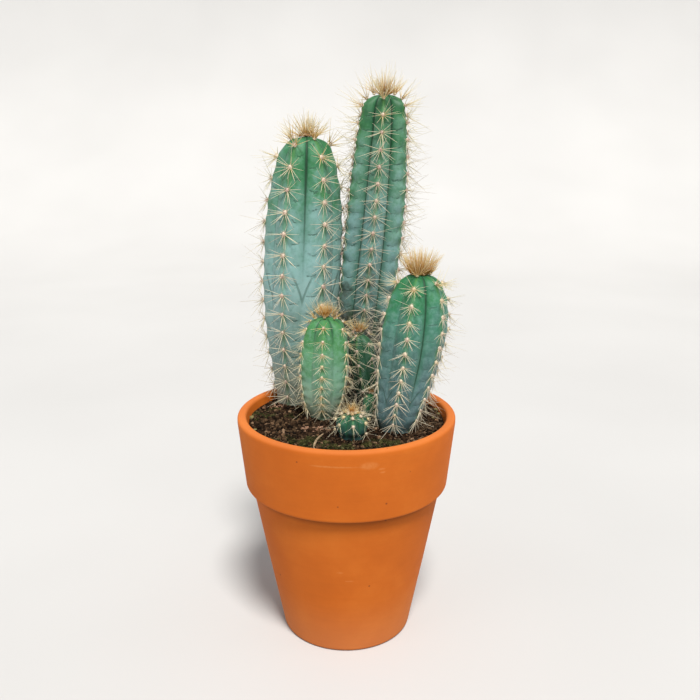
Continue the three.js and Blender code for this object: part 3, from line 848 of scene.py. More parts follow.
spine = {
    "length": 0.01,
    "radius": 0.00017,
    # share of the length, share of the radius and bend at each step, then bend and share at the point
    "steps": [(0.3, 0.94, 0.00001), (0.65, 0.74, 0.00004), (0.88, 0.45, 0.00007)],
    "bend": 0.0001,
    "tipWidth": 0.05,
    "sides": 4,
    "rooted": 0.0003,
    # where it leaves the wool, measured out from the areole's middle
    "collar": 0.0007,
    # how the length and thickness vary, and how much thinner the long ones are
    "lengths": (0.8, 1.1),
    "widths": (0.8, 1.15),
    "longWidth": 0.78,
    "toneJitter": (-0.1, 0.12),
    # turns of the side spines from straight down, and the length of each as a share of the longest
    "fan": [(8, 0.62), (-12, 0.66), (32, 0.8), (-30, 0.8), (54, 0.95), (-56, 0.95), (77, 1), (-75, 1),
            (100, 0.92), (-102, 0.92), (128, 0.7), (-126, 0.7), (160, 0.5)],
    "fanTilt": (56, 84),
    "fanJitter": 11,
    # side spines turned further than this point up, and this share of them is missing
    "upperTurn": 110,
    "upperThinned": 0.2,
    # how far the side spines swing down on a stem whose chevron is 1
    "swing": 0.45,
    "centralTilt": (8, 68),
    # the spines added near the tip, and between which shares of the height they set in
    "bushTilt": (22, 74),
    "bushTurn": 170,
    "bushLengths": (0.85, 1.35),
    "bushReach": (0.7, 0.95),
    # towards the tip the spines are younger and stand up along the stem
    "youngFrom": 0.7,
    "uprightFrom": 0.8,
    "upright": 0.7,
    "uprightLeast": 0.3,
    "outwards": 0.7,
    # a spine in the way is tried at these shares of its length, and tested at these places along it
    "shorter": (1, 0.72, 0.48),
    "tested": (0.35, 0.7, 1),
    "tries": 6,
    # room to another stem's crests and tip, and to the pot's wall and rim
    "clearance": 0.0006,
    "tipGap": 0.0005,
    "wallGap": 0.0025,
    "rimGap": 0.001,
    "seed": 7,
}

brush = {
    "sunk": 0.0004,
    # degrees of tilt in the middle, how far each strays from its tilt, and how the tilt grows outwards
    "upright": 4,
    "tiltJitter": (-9, 12),
    "spreadPower": 1.3,
    # how deep in the grooves the outer ones root, and how much all follow the stem's lean
    "grooveShare": 0.4,
    "leanShare": 2,
    "lengths": (0.5, 1.02),
    "widths": (0.75, 1.05),
    "toneJitter": 0.2,
    "seed": 77,
}

wool = {
    "radius": 0.0012,
    "height": 0.001,
    # the button is narrower across than up the stem, and lumpy
    "across": 0.92,
    "upwards": 1.08,
    "lumps": 0.00012,
    # the curls of hair round the button, rooted at a share of its radius
    "hairs": 26,
    "hairLength": 0.0012,
    "hairRadius": 0.00008,
    "hairSteps": [(0.45, 0.88, 0.00002), (0.82, 0.55, 0.00006)],
    "hairTilt": (15, 85),
    "hairRoot": 0.85,
    "sizes": (0.88, 1.12),
    "roll": 0.5,
    # size on the oldest areoles, and the share of the height above which all are full-grown
    "oldSize": 0.68,
    "fullFrom": 0.6,
    # how much yellower it gets on the youngest, from which share of the height up, and the highest tone
    "youngTone": 0.2,
    "youngFrom": 0.8,
    "toneJitter": 0.12,
    "topTone": 0.9,
    # the felt packed round the growing point: number of tufts, how far down, size and tones
    "packed": 30,
    "packedReach": 0.85,
    "packedSize": 0.46,
    "packedTones": (0.88, 1),
    "seed": 90,
}


# Spine: hard horn, smooth and slightly glossy. Young ones are honey brown with pale points, older ones
# bleach to straw and then to a chalky cream, with a darker point.
def spineHorn():
    material = bareMaterial("spineHorn")
    along = addNode(material, "ShaderNodeAttribute", attribute_name="along").outputs["Fac"]
    shade = addNode(material, "ShaderNodeAttribute", attribute_name="shade").outputs["Fac"]
    # The higher the shade, the more the colour changes from root to point
    past = addNode(material, "ShaderNodeMath", {1: -0.75, 2: 0.15}, {0: along}, operation="MULTIPLY_ADD")
    change = addNode(material, "ShaderNodeMath", links={0: past, 1: shade}, operation="MULTIPLY")
    tone = addNode(material, "ShaderNodeMath", links={0: shade, 1: change}, operation="ADD")
    horn = addNode(material, "ShaderNodeValToRGB", links={"Fac": tone})
    setStops(horn, [(0, "#97846f"), (0.1, "#d9cfb6"), (0.3, "#e4d9b4"), (0.48, "#dcbd7e"),
                    (0.66, "#cb923c"), (0.84, "#ad6c28"), (1, "#7c4a22")])
    point = addNode(material, "ShaderNodeMapRange", {"From Min": 0.8, "From Max": 1, "To Max": 0.25},
                    {"Value": along})
    tipped = addNode(material, "ShaderNodeMix", {7: linear("#9c7654")}, {0: point, 6: horn},
                     data_type="RGBA")
    place = addNode(material, "ShaderNodeTexCoord").outputs["Object"]
    fibre = addNode(material, "ShaderNodeTexNoise", {"Scale": 1500}, {"Vector": place})
    bump = addNode(material, "ShaderNodeBump", {"Strength": 0.1, "Distance": 0.0001}, {"Height": fibre})
    surface(material, tipped, bump, {"Roughness": 0.45, "IOR": 1.5})
    return material


# Areole wool: short felted hair, soft and without gloss, pinkish cream with a rusty base
def areoleFelt():
    material = bareMaterial("areoleFelt")
    shade = addNode(material, "ShaderNodeAttribute", attribute_name="shade").outputs["Fac"]
    along = addNode(material, "ShaderNodeAttribute", attribute_name="along").outputs["Fac"]
    place = addNode(material, "ShaderNodeTexCoord").outputs["Object"]
    tuft = addNode(material, "ShaderNodeTexNoise", {"Scale": 1300, "Detail": 3}, {"Vector": place})
    felt = addNode(material, "ShaderNodeValToRGB", links={"Fac": shade})
    setStops(felt, [(0, "#b59c8c"), (0.3, "#dcbfae"), (0.6, "#ead9c0"), (0.82, "#e3d09a"),
                    (1, "#b8772f")])
    rust = addNode(material, "ShaderNodeMapRange", {"From Min": 0.5, "From Max": 0.2, "To Max": 0.6},
                   {"Value": along})
    rusty = addNode(material, "ShaderNodeMix", {7: linear("#b8703f")}, {0: rust, 6: felt},
                    data_type="RGBA")
    deep = addNode(material, "ShaderNodeMapRange",
                   {"From Min": 0.35, "From Max": 0.65, "To Min": 0.82, "To Max": 1.06}, {"Value": tuft})
    mottled = addNode(material, "ShaderNodeVectorMath", links={0: rusty, 1: deep}, operation="MULTIPLY")
    bump = addNode(material, "ShaderNodeBump", {"Strength": 0.5, "Distance": 0.0003}, {"Height": tuft})
    surface(material, mottled, bump, {"Roughness": 0.95, "Sheen Weight": 0.3, "Sheen Roughness": 0.6})
    return material


# A thin point of a given length, narrowing by the steps and bending to one side
def spinePoint(name, length, radius, sides, steps):
    deselectAll()
    bpy.ops.mesh.primitive_circle_add(vertices=sides, radius=radius, fill_type="NGON")
    point = named(name)
    bpy.ops.object.mode_set(mode="EDIT")
    bpy.ops.mesh.select_all(action="SELECT")
    low, width, aside = 0, 1, 0
    for share, size, bent in [*steps, (1, spine["tipWidth"], spine["bend"])]:
        move = (bent - aside, 0, (share - low) * length)
        bpy.ops.mesh.extrude_region_move(TRANSFORM_OT_translate={"value": move})
        narrower = size / width
        bpy.ops.transform.resize(value=(narrower, narrower, 1), center_override=(bent, 0, share * length))
        low, width, aside = share, size, bent
    closeTip()
    bpy.ops.object.shade_smooth()
    along = [vertex.co.z / length for vertex in point.data.vertices]
    point.data.attributes.new("along", "FLOAT", "POINT").data.foreach_set("value", along)
    return addShade(point)


def spinePattern():
    pattern = spinePoint("spinePattern", spine["length"], spine["radius"], spine["sides"], spine["steps"])
    pattern.data.materials.append(spineHorn())
    return pattern


# A felted button with short curls of hair round it
def woolPattern():
    deselectAll()
    bpy.ops.mesh.primitive_ico_sphere_add(subdivisions=2, radius=wool["radius"])
    button = named("woolButton")
    bpy.ops.object.mode_set(mode="EDIT")
    bpy.ops.mesh.select_all(action="SELECT")
    flatness = wool["height"] / wool["radius"]
    bpy.ops.transform.resize(value=(wool["across"], wool["upwards"], flatness))
    bpy.ops.transform.vertex_random(offset=wool["lumps"], seed=3)
    bpy.ops.object.mode_set(mode="OBJECT")
    bpy.ops.object.shade_smooth()
    along = [0.5 + 0.5 * vertex.co.z / wool["height"] for vertex in button.data.vertices]
    button.data.attributes.new("along", "FLOAT", "POINT").data.foreach_set("value", along)
    addShade(button)
    parts = [button]
    curl = spinePoint("woolCurl", wool["hairLength"], wool["hairRadius"], 3, wool["hairSteps"])
    draw = random.Random(5)
    for i in range(wool["hairs"]):
        tilt = Matrix.Rotation(math.radians(draw.uniform(*wool["hairTilt"])), 4, "Y")
        turn = Matrix.Rotation(math.tau * (i + draw.random()) / wool["hairs"], 4, "Z")
        out = Matrix.Translation((0, 0, wool["radius"] * wool["hairRoot"]))
        parts.append(planted(curl, turn @ tilt @ out, 0.5))
    bpy.data.objects.remove(curl)
    pattern = joined(parts, "woolPattern")
    pattern.data.materials.append(areoleFelt())
    return pattern


# Each areole of a stem: its place, the surface's own directions and how near the tip it is
def areolesOf(stem):
    length = stem["traced"][-1][0]
    places = []
    for rib, row in enumerate(areoleRows(stem)):
        angle = math.radians(stem["turn"]) + rib * math.tau / stem["ribs"]
        around = Vector((math.sin(angle), -math.cos(angle), 0))
        for fromTip in row:
            radius, height, slope = onOutline(stem, length - fromTip)
            centre = centreAt(stem, height)
            up = (around * slope.x + Vector((0, 0, slope.y))).normalized()
            out = (around * slope.y - Vector((0, 0, slope.x))).normalized()
            point = Vector((centre.x, centre.y, soilAtStems + height))
            bump = out * stem["swell"] * skin["areoleRise"] * min(1, radius / skin["smoothTip"])
            point += around * radius + bump
            share = 1 - fromTip / length
            side = up.cross(out)
            places.append({"point": point, "up": up, "out": out, "side": side, "share": share})
    return places


# The plant's reach along each axis, as middle and half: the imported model's box and 2.6% more
reach = [((low + high) / 2, (high - low) * 0.526) for low, high in zip(*cadBox)]


# Soil height at a place: a low mound with lumps, banked a little against each stem
def soilHeight(x, y):
    edge = innerRadius(soil["edgeHeight"])
    out = min(1, math.hypot(x, y) / edge)
    lumps = noise.noise(Vector((x, y, 0)) / soil["lumpSize"]) * soil["lumpHeight"]
    crumbs = noise.noise(Vector((x, y, 0.3)) / soil["crumbSize"]) * soil["crumbHeight"]
    bank = 0
    for stem in stems:
        gap = (Vector((x, y)) - Vector(stem["at"])).length - stem["outline"][0][1]
        bank = max(bank, soil["bank"] * (1 - smooth(gap, 0, soil["bankReach"])))
    inside = 1 - out ** 6
    return soil["edgeHeight"] + soil["mound"] * (1 - out * out) + (lumps + crumbs + bank) * inside


# True where a point is in the pot's wall, the soil or another stem, or out of the plant's reach
def isBlocked(stem, point):
    if any(abs(point[i] - reach[i][0]) > reach[i][1] for i in range(3)):
        return True
    wall = innerRadius(point.z) - spine["wallGap"]
    if point.z < pot["height"] + spine["rimGap"] and math.hypot(point.x, point.y) > wall:
        return True
    if point.z < soilHeight(point.x, point.y):
        return True
    height = point.z - soilAtStems
    for other in stems:
        if other is stem or height > other["height"] + spine["tipGap"]:
            continue
        crest = atHeight(other, height)[0] + spine["clearance"]
        if (point.xy - centreAt(other, height)).length < crest:
            return True
    return False


# Plants one spine, shorter where its way is blocked. Gives None where even a short one won't fit.
def growSpine(stem, pattern, point, direction, length, width, shade, draw):
    for share in spine["shorter"]:
        grown = length * share
        if any(isBlocked(stem, point + direction * grown * part) for part in spine["tested"]):
            continue
        stand = direction.to_track_quat("Z", "Y").to_matrix().to_4x4()
        roll = Matrix.Rotation(draw.uniform(0, math.tau), 4, "Z")
        size = Matrix.Diagonal((width, width, grown / spine["length"], 1))
        root = Matrix.Translation(point - direction * spine["rooted"])
        return planted(pattern, root @ stand @ roll @ size, shade)
    return None


# The spines of each areole: a fan along the surface and a few that stand out from its middle
def makeSpines(stem, pattern):
    draw = random.Random(spine["seed"] + stems.index(stem))
    axis = Vector((*stem["lean"], stem["height"])).normalized()
    fan = [(angle, share, spine["fanTilt"], spine["fanJitter"]) for angle, share in spine["fan"]]
    fan += [(0, stem["central"], spine["centralTilt"], stem["centralTurn"])] * stem["centrals"]
    grown = []
    for place in areolesOf(stem):
        young = smooth(place["share"], spine["youngFrom"], 1)
        upright = spine["upright"] * smooth(place["share"], spine["uprightFrom"], 1)
        bush = []
        for _ in range(round(stem["bush"] * smooth(place["share"], *spine["bushReach"]))):
            angle = draw.uniform(-spine["bushTurn"], spine["bushTurn"])
            bush.append((angle, draw.uniform(*spine["bushLengths"]), spine["bushTilt"], 0))
        for angle, share, tilts, jitter in fan + bush:
            # Lower down, fewer spines point up and the others swing down
            upper = abs(angle) > spine["upperTurn"]
            if upper and draw.random() < stem["chevron"] + spine["upperThinned"]:
                continue
            if draw.random() < stem["thinned"]:
                continue
            swing = 1 - spine["swing"] * stem["chevron"] * (1 - young)
            for _ in range(spine["tries"]):
                turn = math.radians(angle * swing + draw.uniform(-jitter, jitter))
                tilt = math.radians(draw.uniform(*tilts))
                aside = place["side"] * math.sin(turn) - place["up"] * math.cos(turn)
                direction = place["out"] * math.cos(tilt) + aside * math.sin(tilt)
                lift = upright * draw.uniform(spine["uprightLeast"], 1)
                direction = direction.lerp(axis + place["out"] * spine["outwards"], lift).normalized()
                point = place["point"] + aside * spine["collar"] * stem["wool"] * math.sin(tilt)
                length = stem["spine"] * share * draw.uniform(*spine["lengths"])
                shade = max(0, lerp(*stem["spineTone"], young) + draw.uniform(*spine["toneJitter"]))
                width = stem["spineWidth"] * draw.uniform(*spine["widths"])
                width *= spine["longWidth"] if share > 1 else 1
                thorn = growSpine(stem, pattern, point, direction, length, width, shade, draw)
                if thorn:
                    grown.append(thorn)
                    break
    return grown


# The brush of young spines at the tip, upright in its middle and spread at its edge
def makeBrush(stem, pattern):
    draw = random.Random(brush["seed"] + stems.index(stem))
    length = stem["traced"][-1][0]
    grown = []
    for i in range(stem["brush"]):
        share = math.sqrt((i + 0.5) / stem["brush"])
        angle = i * goldenAngle
        around = Vector((math.sin(angle), -math.cos(angle), 0))
        radius, height, _ = onOutline(stem, length - stem["brushWidth"] * share)
        centre = centreAt(stem, height)
        depth = 1 - stem["groove"][1] * brush["grooveShare"] * share
        point = Vector((*centre, soilAtStems + height - brush["sunk"])) + around * radius * depth
        spread = stem["brushSpread"] * share ** brush["spreadPower"]
        tilt = math.radians(brush["upright"] + spread + draw.uniform(*brush["tiltJitter"]))
        direction = (Vector((0, 0, 1)) * math.cos(tilt) + around * math.sin(tilt)).normalized()
        direction = (direction + Vector((*stem["lean"], 0)) * brush["leanShare"]).normalized()
        size = stem["crown"] * draw.uniform(*brush["lengths"])
        shade = min(1, stem["brushTone"] + draw.uniform(-brush["toneJitter"], brush["toneJitter"]))
        width = stem["spineWidth"] * draw.uniform(*brush["widths"])
        thorn = growSpine(stem, pattern, point, direction, size, width, shade, draw)
        if thorn:
            grown.append(thorn)
    return grown


# A tuft of felt on each areole, smaller low down, and more of it packed round the growing point
def makeWool(stem, pattern):
    draw = random.Random(wool["seed"] + stems.index(stem))
    tufts = []
    for place in areolesOf(stem):
        old = lerp(1, wool["oldSize"], smooth(wool["fullFrom"] - place["share"], 0, wool["fullFrom"]))
        size = stem["wool"] * old * draw.uniform(*wool["sizes"])
        stand = Matrix((place["side"], place["up"], place["out"])).transposed().to_4x4()
        roll = Matrix.Rotation(draw.uniform(-wool["roll"], wool["roll"]), 4, "Z")
        grow = Matrix.Diagonal((size, size, size, 1))
        shade = stem["woolTone"] + wool["youngTone"] * smooth(place["share"], wool["youngFrom"], 1)
        shade = min(wool["topTone"], shade + draw.uniform(-wool["toneJitter"], wool["toneJitter"]))
        tufts.append(planted(pattern, Matrix.Translation(place["point"]) @ stand @ roll @ grow, shade))
    length = stem["traced"][-1][0]
    size = stem["wool"] * wool["packedSize"]
    grow = Matrix.Diagonal((size, size, size, 1))
    packedReach = stem["brushWidth"] * wool["packedReach"]
    for i in range(wool["packed"]):
        angle = i * goldenAngle
        radius, height, _ = onOutline(stem, length - packedReach * math.sqrt((i + 0.5) / wool["packed"]))
        centre = centreAt(stem, height)
        x, y = centre.x + radius * math.sin(angle), centre.y - radius * math.cos(angle)
        point = Vector((x, y, soilAtStems + height))
        turn = Matrix.Rotation(angle, 4, "Z")
        shade = draw.uniform(*wool["packedTones"])
        tufts.append(planted(pattern, Matrix.Translation(point) @ turn @ grow, shade))
    return tufts


def dress(piece, node):
    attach(piece, "root")
    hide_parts(node)


def makeStems():
    thorn = spinePattern()
    tuft = woolPattern()
    for stem in stems:
        stem["traced"] = tracedOutline(stem)
    for stem in stems:
        dress(makeSkin(stem), stem["node"])
        dress(joined(makeWool(stem, tuft), "wool" + stem["name"]), stem["node"])
        spines = makeSpines(stem, thorn) + makeBrush(stem, thorn)
        dress(joined(spines, "spines" + stem["name"]), stem["node"])
        print(stem["node"], "with", len(spines), "spines")
    bpy.data.objects.remove(thorn)
    bpy.data.objects.remove(tuft)


# The soil

soil = {
    "edgeHeight": 0.1445,
    "mound": 0.0018,
    "lumpSize": 0.007,
    "lumpHeight": 0.0013,
    "crumbSize": 0.0022,
    "crumbHeight": 0.0009,
    # how high and how wide the soil is banked against each stem
    "bank": 0.0012,
    "bankReach": 0.006,
    "gap": 0.00035,
    "rings": 12,
    "sides": 48,
    "levels": 2,
}


# Compost: peat and bark fines in clods of about 2 mm, damp and dull, with painted shade that makes it
# nearly black in the hollows of its bump
def pottingCompost():
    material = bareMaterial("pottingCompost")
    place = addNode(material, "ShaderNodeTexCoord").outputs["Object"]
    clods = addNode(material, "ShaderNodeTexNoise", {"Scale": 420, "Detail": 6, "Roughness": 0.7},
                    {"Vector": place})
    # darkest where the clods sink: painted shade in the hollows of the bump
    peat = addNode(material, "ShaderNodeValToRGB", links={"Fac": clods})
    setStops(peat, [(0.3, "#0d0805"), (0.5, "#1f140b"), (0.64, "#352416"), (0.75, "#4d3723")])
    bump = addNode(material, "ShaderNodeBump", {"Strength": 0.9, "Distance": 0.0008}, {"Height": clods})
    surface(material, peat, bump, {"Roughness": 0.95, "IOR": 1.15})
    return material


# Loose bits on the compost: peat crumb, bark, grit, moss or root. Each takes its colour by its shade,
# with a grain of about 1 mm.
def looseBits(name, stops, roughness):
    material = bareMaterial(name)
    place = addNode(material, "ShaderNodeTexCoord").outputs["Object"]
    shade = addNode(material, "ShaderNodeAttribute", attribute_name="shade").outputs["Fac"]
    tone = addNode(material, "ShaderNodeValToRGB", links={"Fac": shade})
    setStops(tone, stops)
    grain = addNode(material, "ShaderNodeTexNoise", {"Scale": 900, "Detail": 4}, {"Vector": place})
    deep = addNode(material, "ShaderNodeMapRange",
                   {"From Min": 0.3, "From Max": 0.7, "To Min": 0.5, "To Max": 1.3}, {"Value": grain})
    mottled = addNode(material, "ShaderNodeVectorMath", links={0: tone, 1: deep}, operation="MULTIPLY")
    bump = addNode(material, "ShaderNodeBump", {"Strength": 0.5, "Distance": 0.0003}, {"Height": grain})
    surface(material, mottled, bump, {"Roughness": roughness, "IOR": 1.2})
    return material


def makeSoilBed():
    edge = innerRadius(soil["edgeHeight"]) - soil["gap"]
    bottom = pot["floorThickness"] + soil["gap"]
    profile = [(innerRadius(bottom) - soil["gap"], bottom)]
    profile += [(edge * (1 - i / soil["rings"]), soil["edgeHeight"]) for i in range(soil["rings"])]
    bed = raised("soilBed", profile, soil["sides"], True)
    closeTip()
    applied(bed, "SUBSURF", subdivision_type="SIMPLE", levels=soil["levels"],
            render_levels=soil["levels"])
    for vertex in bed.data.vertices:
        if vertex.co.z > soil["edgeHeight"] - 0.0001:
            vertex.co.z = soilHeight(vertex.co.x, vertex.co.y)
    bed.data.update()
    pick(bed)
    bpy.ops.object.shade_smooth_by_angle(angle=math.radians(60))
    bed.data.materials.append(pottingCompost())
    dress(bed, "soil")


# Crumbs, bark, grit and pebbles

bits = {
    # sizes are half widths, and lifts say how high a bit's middle lies, as a share of its size
    "crumbs": 5600,
    "crumbSizes": (0.0005, 0.0019),
    "crumbForm": (1, 0.8, 0.65),
    "crumbRoughness": 0.3,
    "crumbLift": 0.25,
    "crumbColours": [(0, "#120c07"), (0.35, "#261a10"), (0.6, "#3a291b"), (0.82, "#4e3c2a"),
                     (0.94, "#664d37"), (1, "#8c7158")],
    "chips": 380,
    "chipSizes": (0.0005, 0.0014),
    "chipForm": (2, 0.9, 0.32),
    "chipRoughness": 0.16,
    "chipLift": 0.3,
    "chipShades": (0, 0.95),
    "chipColours": [(0, "#24170e"), (0.45, "#3e2a1c"), (0.8, "#583f2f"), (0.93, "#84624c"),
                    (1, "#bd967d")],
    # middle, reach, number and sizes of each patch of pale chips, shorter than the others
    "pale": [((-0.0480, 0.0195), (0.0070, 0.0030), 22, (0.0008, 0.0015)),
             ((-0.0200, -0.0230), (0.0080, 0.0032), 110, (0.0006, 0.0012)),
             ((-0.0355, -0.0444), (0.0010, 0.0005), 2, (0.0010, 0.0013)),
             ((0.0340, -0.0450), (0.0060, 0.0040), 16, (0.0006, 0.0012))],
    "paleLift": 0.5,
    "paleLength": 0.8,
    "paleTumble": 0.4,
    "paleShades": (0.9, 1),
    "grit": 24,
    "gritSizes": (0.0006, 0.0014),
    "gritLift": 0.3,
    "gritColours": [(0, "#71683f"), (0.7, "#9a9064"), (1, "#bdb38c")],
    # pebbles: place and half width
    "pebbles": [((-0.0617, 0.0005), 0.0021), ((-0.0572, -0.0211), 0.0014), ((0.0596, 0.0160), 0.0019),
                ((0.0606, 0.0082), 0.0015), ((0.0564, 0.0005), 0.0013)],
    "pebbleShades": (0.1, 0.6),
    # how each bit is stretched in depth and height, and how far chips and other bits tumble
    "depths": (0.7, 1.2),
    "heights": (0.7, 1.1),
    "chipTumble": 0.45,
    "tumble": 1.2,
    "wallGap": 0.0008,
    "seed": 4,
}


# A rough little lump with flat facets
def crumbPattern():
    deselectAll()
    bpy.ops.mesh.primitive_ico_sphere_add(subdivisions=1, radius=1)
    crumb = named("crumbPattern")
    bpy.ops.object.mode_set(mode="EDIT")
    bpy.ops.mesh.select_all(action="SELECT")
    bpy.ops.transform.resize(value=bits["crumbForm"])
    bpy.ops.transform.vertex_random(offset=bits["crumbRoughness"], seed=9)
    bpy.ops.object.mode_set(mode="OBJECT")
    return addShade(crumb)


# A flat chip, its ends pinched and its corners broken
def chipPattern():
    deselectAll()
    bpy.ops.mesh.primitive_cube_add(size=1)
    chip = named("chipPattern")
    bpy.ops.object.mode_set(mode="EDIT")
    bpy.ops.mesh.select_all(action="SELECT")
    bpy.ops.transform.resize(value=bits["chipForm"])
    bpy.ops.mesh.subdivide(number_cuts=1)
    bpy.ops.transform.vertex_random(offset=bits["chipRoughness"], seed=2)
    bpy.ops.object.mode_set(mode="OBJECT")
    return addShade(chip)


# A point on the soil, lifted by a given height
def onSoil(x, y, lift=0):
    return Vector((x, y, soilHeight(x, y) + lift))


# A random place on the soil, clear of the stems and the wall
def soilPlace(draw, margin):
    edge = innerRadius(soil["edgeHeight"]) - bits["wallGap"] - margin
    while True:
        radius = edge * math.sqrt(draw.random())
        angle = draw.uniform(0, math.tau)
        place = Vector((radius * math.cos(angle), radius * math.sin(angle)))
        gaps = [(place - Vector(stem["at"])).length - stem["outline"][0][1] for stem in stems]
        if min(gaps) > margin * 0.5:
            return onSoil(*place)


# A random place round the middle of a patch, most often near it
def patchPlace(draw, middle, reach):
    return draw.gauss(middle[0], reach[0] / 2), draw.gauss(middle[1], reach[1] / 2)


def turned(angle, axis="Z"):
    return Matrix.Rotation(angle, 4, axis)


# Copies of a bit all over the soil, each sized, stretched, turned and tumbled by chance
def scattered(pattern, number, sizes, lift, shades, draw, tumble):
    copies = []
    for _ in range(number):
        size = lerp(*sizes, draw.random() ** 2)
        point = soilPlace(draw, size)
        turn = turned(draw.uniform(0, math.tau))
        tip = turned(draw.gauss(0, tumble), "X") @ turned(draw.gauss(0, tumble), "Y")
        depth, height = size * draw.uniform(*bits["depths"]), size * draw.uniform(*bits["heights"])
        stretch = Matrix.Diagonal((size, depth, height, 1))
        place = Matrix.Translation(point + Vector((0, 0, lift * size)))
        copies.append(planted(pattern, place @ turn @ tip @ stretch, draw.uniform(*shades)))
    return copies


def makeLooseBits():
    draw = random.Random(bits["seed"])
    crumb = crumbPattern()
    crumb.data.materials.append(looseBits("peatCrumb", bits["crumbColours"], 0.95))
    crumbs = scattered(crumb, bits["crumbs"], bits["crumbSizes"], bits["crumbLift"], (0, 1), draw,
                       bits["tumble"])
    dress(joined(crumbs, "soilCrumbs"), "soil")

    chip = chipPattern()
    chip.data.materials.append(looseBits("pineBark", bits["chipColours"], 0.85))
    chips = scattered(chip, bits["chips"], bits["chipSizes"], bits["chipLift"], bits["chipShades"], draw,
                      bits["chipTumble"])
    for middle, reach, number, sizes in bits["pale"]:
        for _ in range(number):
            x, y = patchPlace(draw, middle, reach)
            size = draw.uniform(*sizes)
            lie = Matrix.Translation(onSoil(x, y, size * bits["paleLift"]))
            tips = [draw.gauss(0, bits["paleTumble"]) for _ in range(2)]
            tumble = Euler([*tips, draw.uniform(0, math.tau)]).to_matrix().to_4x4()
            stretch = Matrix.Diagonal((size * bits["paleLength"], size, size, 1))
            chips.append(planted(chip, lie @ tumble @ stretch, draw.uniform(*bits["paleShades"])))
    dress(joined(chips, "barkChips"), "soil")

    # Grit and pebbles are the crumb's lump in stone
    crumb.data.materials.clear()
    crumb.data.materials.append(looseBits("quartzGrit", bits["gritColours"], 0.7))
    stones = scattered(crumb, bits["grit"], bits["gritSizes"], bits["gritLift"], (0, 1), draw,
                       bits["tumble"])
    for (x, y), size in bits["pebbles"]:
        lie = Matrix.Translation(onSoil(x, y, size * bits["gritLift"]))
        turn = turned(draw.uniform(0, math.tau))
        shade = draw.uniform(*bits["pebbleShades"])
        stones.append(planted(crumb, lie @ turn @ Matrix.Scale(size, 4), shade))
    dress(joined(stones, "soilGrit"), "soil")
    bpy.data.objects.remove(crumb)
    bpy.data.objects.remove(chip)


moss = {
    "leaves": 7,
    "leafLength": 0.0011,
    "leafRadius": 0.00017,
    "leafSteps": [(0.6, 0.8, 0.00004)],
    "leafTilts": (22, 72),
    # it grows in clumps of this many sprigs, this wide
    "clump": 16,
    "clumpReach": 0.0013,
    "sizes": (0.8, 1.7),
    "lean": 0.3,
    "lift": 0.0006,
    "wallGap": 0.002,
    # middle, reach across and to the back, and number of sprigs of each patch
    "patches": [((-0.0250, -0.0450), (0.0120, 0.0090), 460), ((-0.0070, -0.0500), (0.0120, 0.0060), 380),
                ((0.0230, -0.0470), (0.0120, 0.0070), 420), ((-0.0550, 0.0030), (0.0140, 0.0120), 260)],
    "colours": [(0, "#1b1d0b"), (0.5, "#333419"), (0.85, "#4e4d28"), (1, "#736d44")],
    "seed": 5,
}


# A sprig of moss: narrow leaves in a star, every other one lower
def mossPattern():
    leaf = spinePoint("mossLeaf", moss["leafLength"], moss["leafRadius"], 3, moss["leafSteps"])
    parts = []
    for i in range(moss["leaves"]):
        tilt = turned(math.radians(moss["leafTilts"][i % 2]), "Y")
        parts.append(planted(leaf, turned(i * math.tau / moss["leaves"]) @ tilt, 0.5))
    bpy.data.objects.remove(leaf)
    return joined(parts, "mossPattern")


def makeMoss():
    draw = random.Random(moss["seed"])
    sprig = mossPattern()
    sprig.data.materials.append(looseBits("cushionMoss", moss["colours"], 0.8))
    sprigs = []
    for middle, reach, number in moss["patches"]:
        for i in range(number):
            if i % moss["clump"] == 0:
                clumpX, clumpY = patchPlace(draw, middle, reach)
            x = clumpX + draw.gauss(0, moss["clumpReach"])
            y = clumpY + draw.gauss(0, moss["clumpReach"])
            if math.hypot(x, y) > innerRadius(soil["edgeHeight"]) - moss["wallGap"]:
                continue
            lie = Matrix.Translation(onSoil(x, y, draw.uniform(0, moss["lift"])))
            turn = turned(draw.uniform(0, math.tau)) @ turned(draw.gauss(0, moss["lean"]), "X")
            grow = Matrix.Scale(draw.uniform(*moss["sizes"]), 4)
            sprigs.append(planted(sprig, lie @ turn @ grow, draw.random()))
    dress(joined(sprigs, "mossPatch"), "soil")
    bpy.data.objects.remove(sprig)


roots = {
    "fibres": 460,
    "length": 0.006,
    "radius": 0.00011,
    "lengths": (0.5, 1.2),
    "room": 0.003,
    "tilt": 86,
    "lift": 0.0005,
    "wallGap": 0.004,
    "colours": [(0, "#4c3a29"), (0.5, "#80684f"), (1, "#b89f80")],
    # middle, reach and number of each drift of fallen spines and dry fibres
    "litter": [((0.0490, -0.0200), (0.0140, 0.0120), 230), ((0.0600, 0.0100), (0.0050, 0.0200), 150),
               ((0.0170, 0.0000), (0.0040, 0.0200), 30), ((-0.0080, -0.0300), (0.0140, 0.0090), 24)],
    "litterLift": 0.0015,
    # the pale root that lies on the soil in front: its thickness at the front end, its points from there
    # on, and how high it lies at that end and then at every other point
    "rootRadius": 0.0005,
    "root": [(-0.0176, -0.0565), (-0.0196, -0.0510), (-0.0180, -0.0455), (-0.0176, -0.0405),
             (-0.0150, -0.0355), (-0.0130, -0.0315)],
    "rootEnd": 0.0006,
    "rootLifts": (0.0011, 0.0017),
    # how much it swells at each of its first two steps and narrows at each one after
    "rootSwell": 1.35,
    "rootNarrow": 0.9,
    "rootShade": 0.8,
    "seed": 6,
}


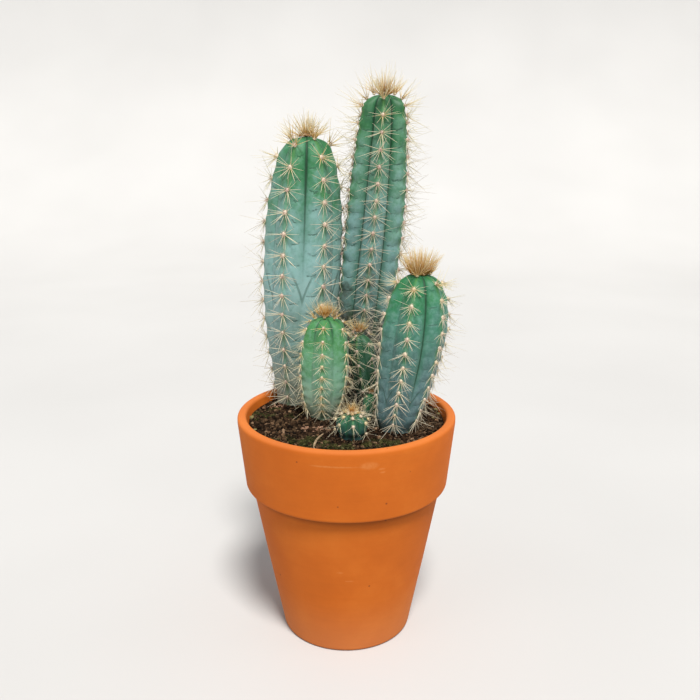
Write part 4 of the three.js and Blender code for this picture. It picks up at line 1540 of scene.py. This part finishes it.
# The pale root: a ring drawn out from point to point over the soil, thickest a third of the way along
def paleRoot():
    deselectAll()
    bpy.ops.mesh.primitive_circle_add(vertices=7, radius=roots["rootRadius"], fill_type="NGON")
    root = named("paleRoot")
    bpy.ops.object.mode_set(mode="EDIT")
    bpy.ops.mesh.select_all(action="SELECT")
    bpy.ops.transform.rotate(value=math.radians(90), orient_axis="X", center_override=(0, 0, 0))
    here = onSoil(*roots["root"][0], roots["rootEnd"])
    bpy.ops.transform.translate(value=here)
    for i, (x, y) in enumerate(roots["root"][1:]):
        there = onSoil(x, y, roots["rootLifts"][i % 2])
        bpy.ops.mesh.extrude_region_move(TRANSFORM_OT_translate={"value": there - here})
        size = roots["rootSwell"] if i < 2 else roots["rootNarrow"]
        bpy.ops.transform.resize(value=(size, size, size), center_override=there)
        here = there
    closeTip()
    applied(root, "SUBSURF", levels=2, render_levels=2)
    pick(root)
    bpy.ops.object.shade_smooth()
    addShade(root)
    shades = [roots["rootShade"]] * len(root.data.vertices)
    root.data.attributes["shade"].data.foreach_set("value", shades)
    root.data.attributes.new("along", "FLOAT", "POINT")
    return root


# Dry roots, fibres and fallen spines: thin bent threads that lie on the crumbs
def makeRoots():
    draw = random.Random(roots["seed"])
    thread = spinePoint("fibrePattern", roots["length"], roots["radius"], 3, spine["steps"])
    thread.data.materials.append(looseBits("dryRoot", roots["colours"], 0.8))
    points = [soilPlace(draw, roots["room"]) for _ in range(roots["fibres"])]
    for middle, reach, number in roots["litter"]:
        for _ in range(number):
            x, y = patchPlace(draw, middle, reach)
            if math.hypot(x, y) < innerRadius(soil["edgeHeight"]) - roots["wallGap"]:
                points.append(onSoil(x, y, draw.uniform(0, roots["litterLift"])))
    threads = []
    for point in points:
        point.z += roots["lift"]
        lie = turned(draw.uniform(0, math.tau)) @ turned(math.radians(roots["tilt"]), "Y")
        size = Matrix.Diagonal((1, 1, draw.uniform(*roots["lengths"]), 1))
        threads.append(planted(thread, Matrix.Translation(point) @ lie @ size, draw.random()))
    root = paleRoot()
    root.data.materials.append(thread.data.materials[0])
    dress(joined([*threads, root], "dryRoots"), "soil")
    bpy.data.objects.remove(thread)


makeStudio()
makeFloor()
print("studio ready")
makePot()
print("pot thrown")
makeStems()
print("stems grown")
makeSoilBed()
makeLooseBits()
makeMoss()
makeRoots()
print("soil filled")
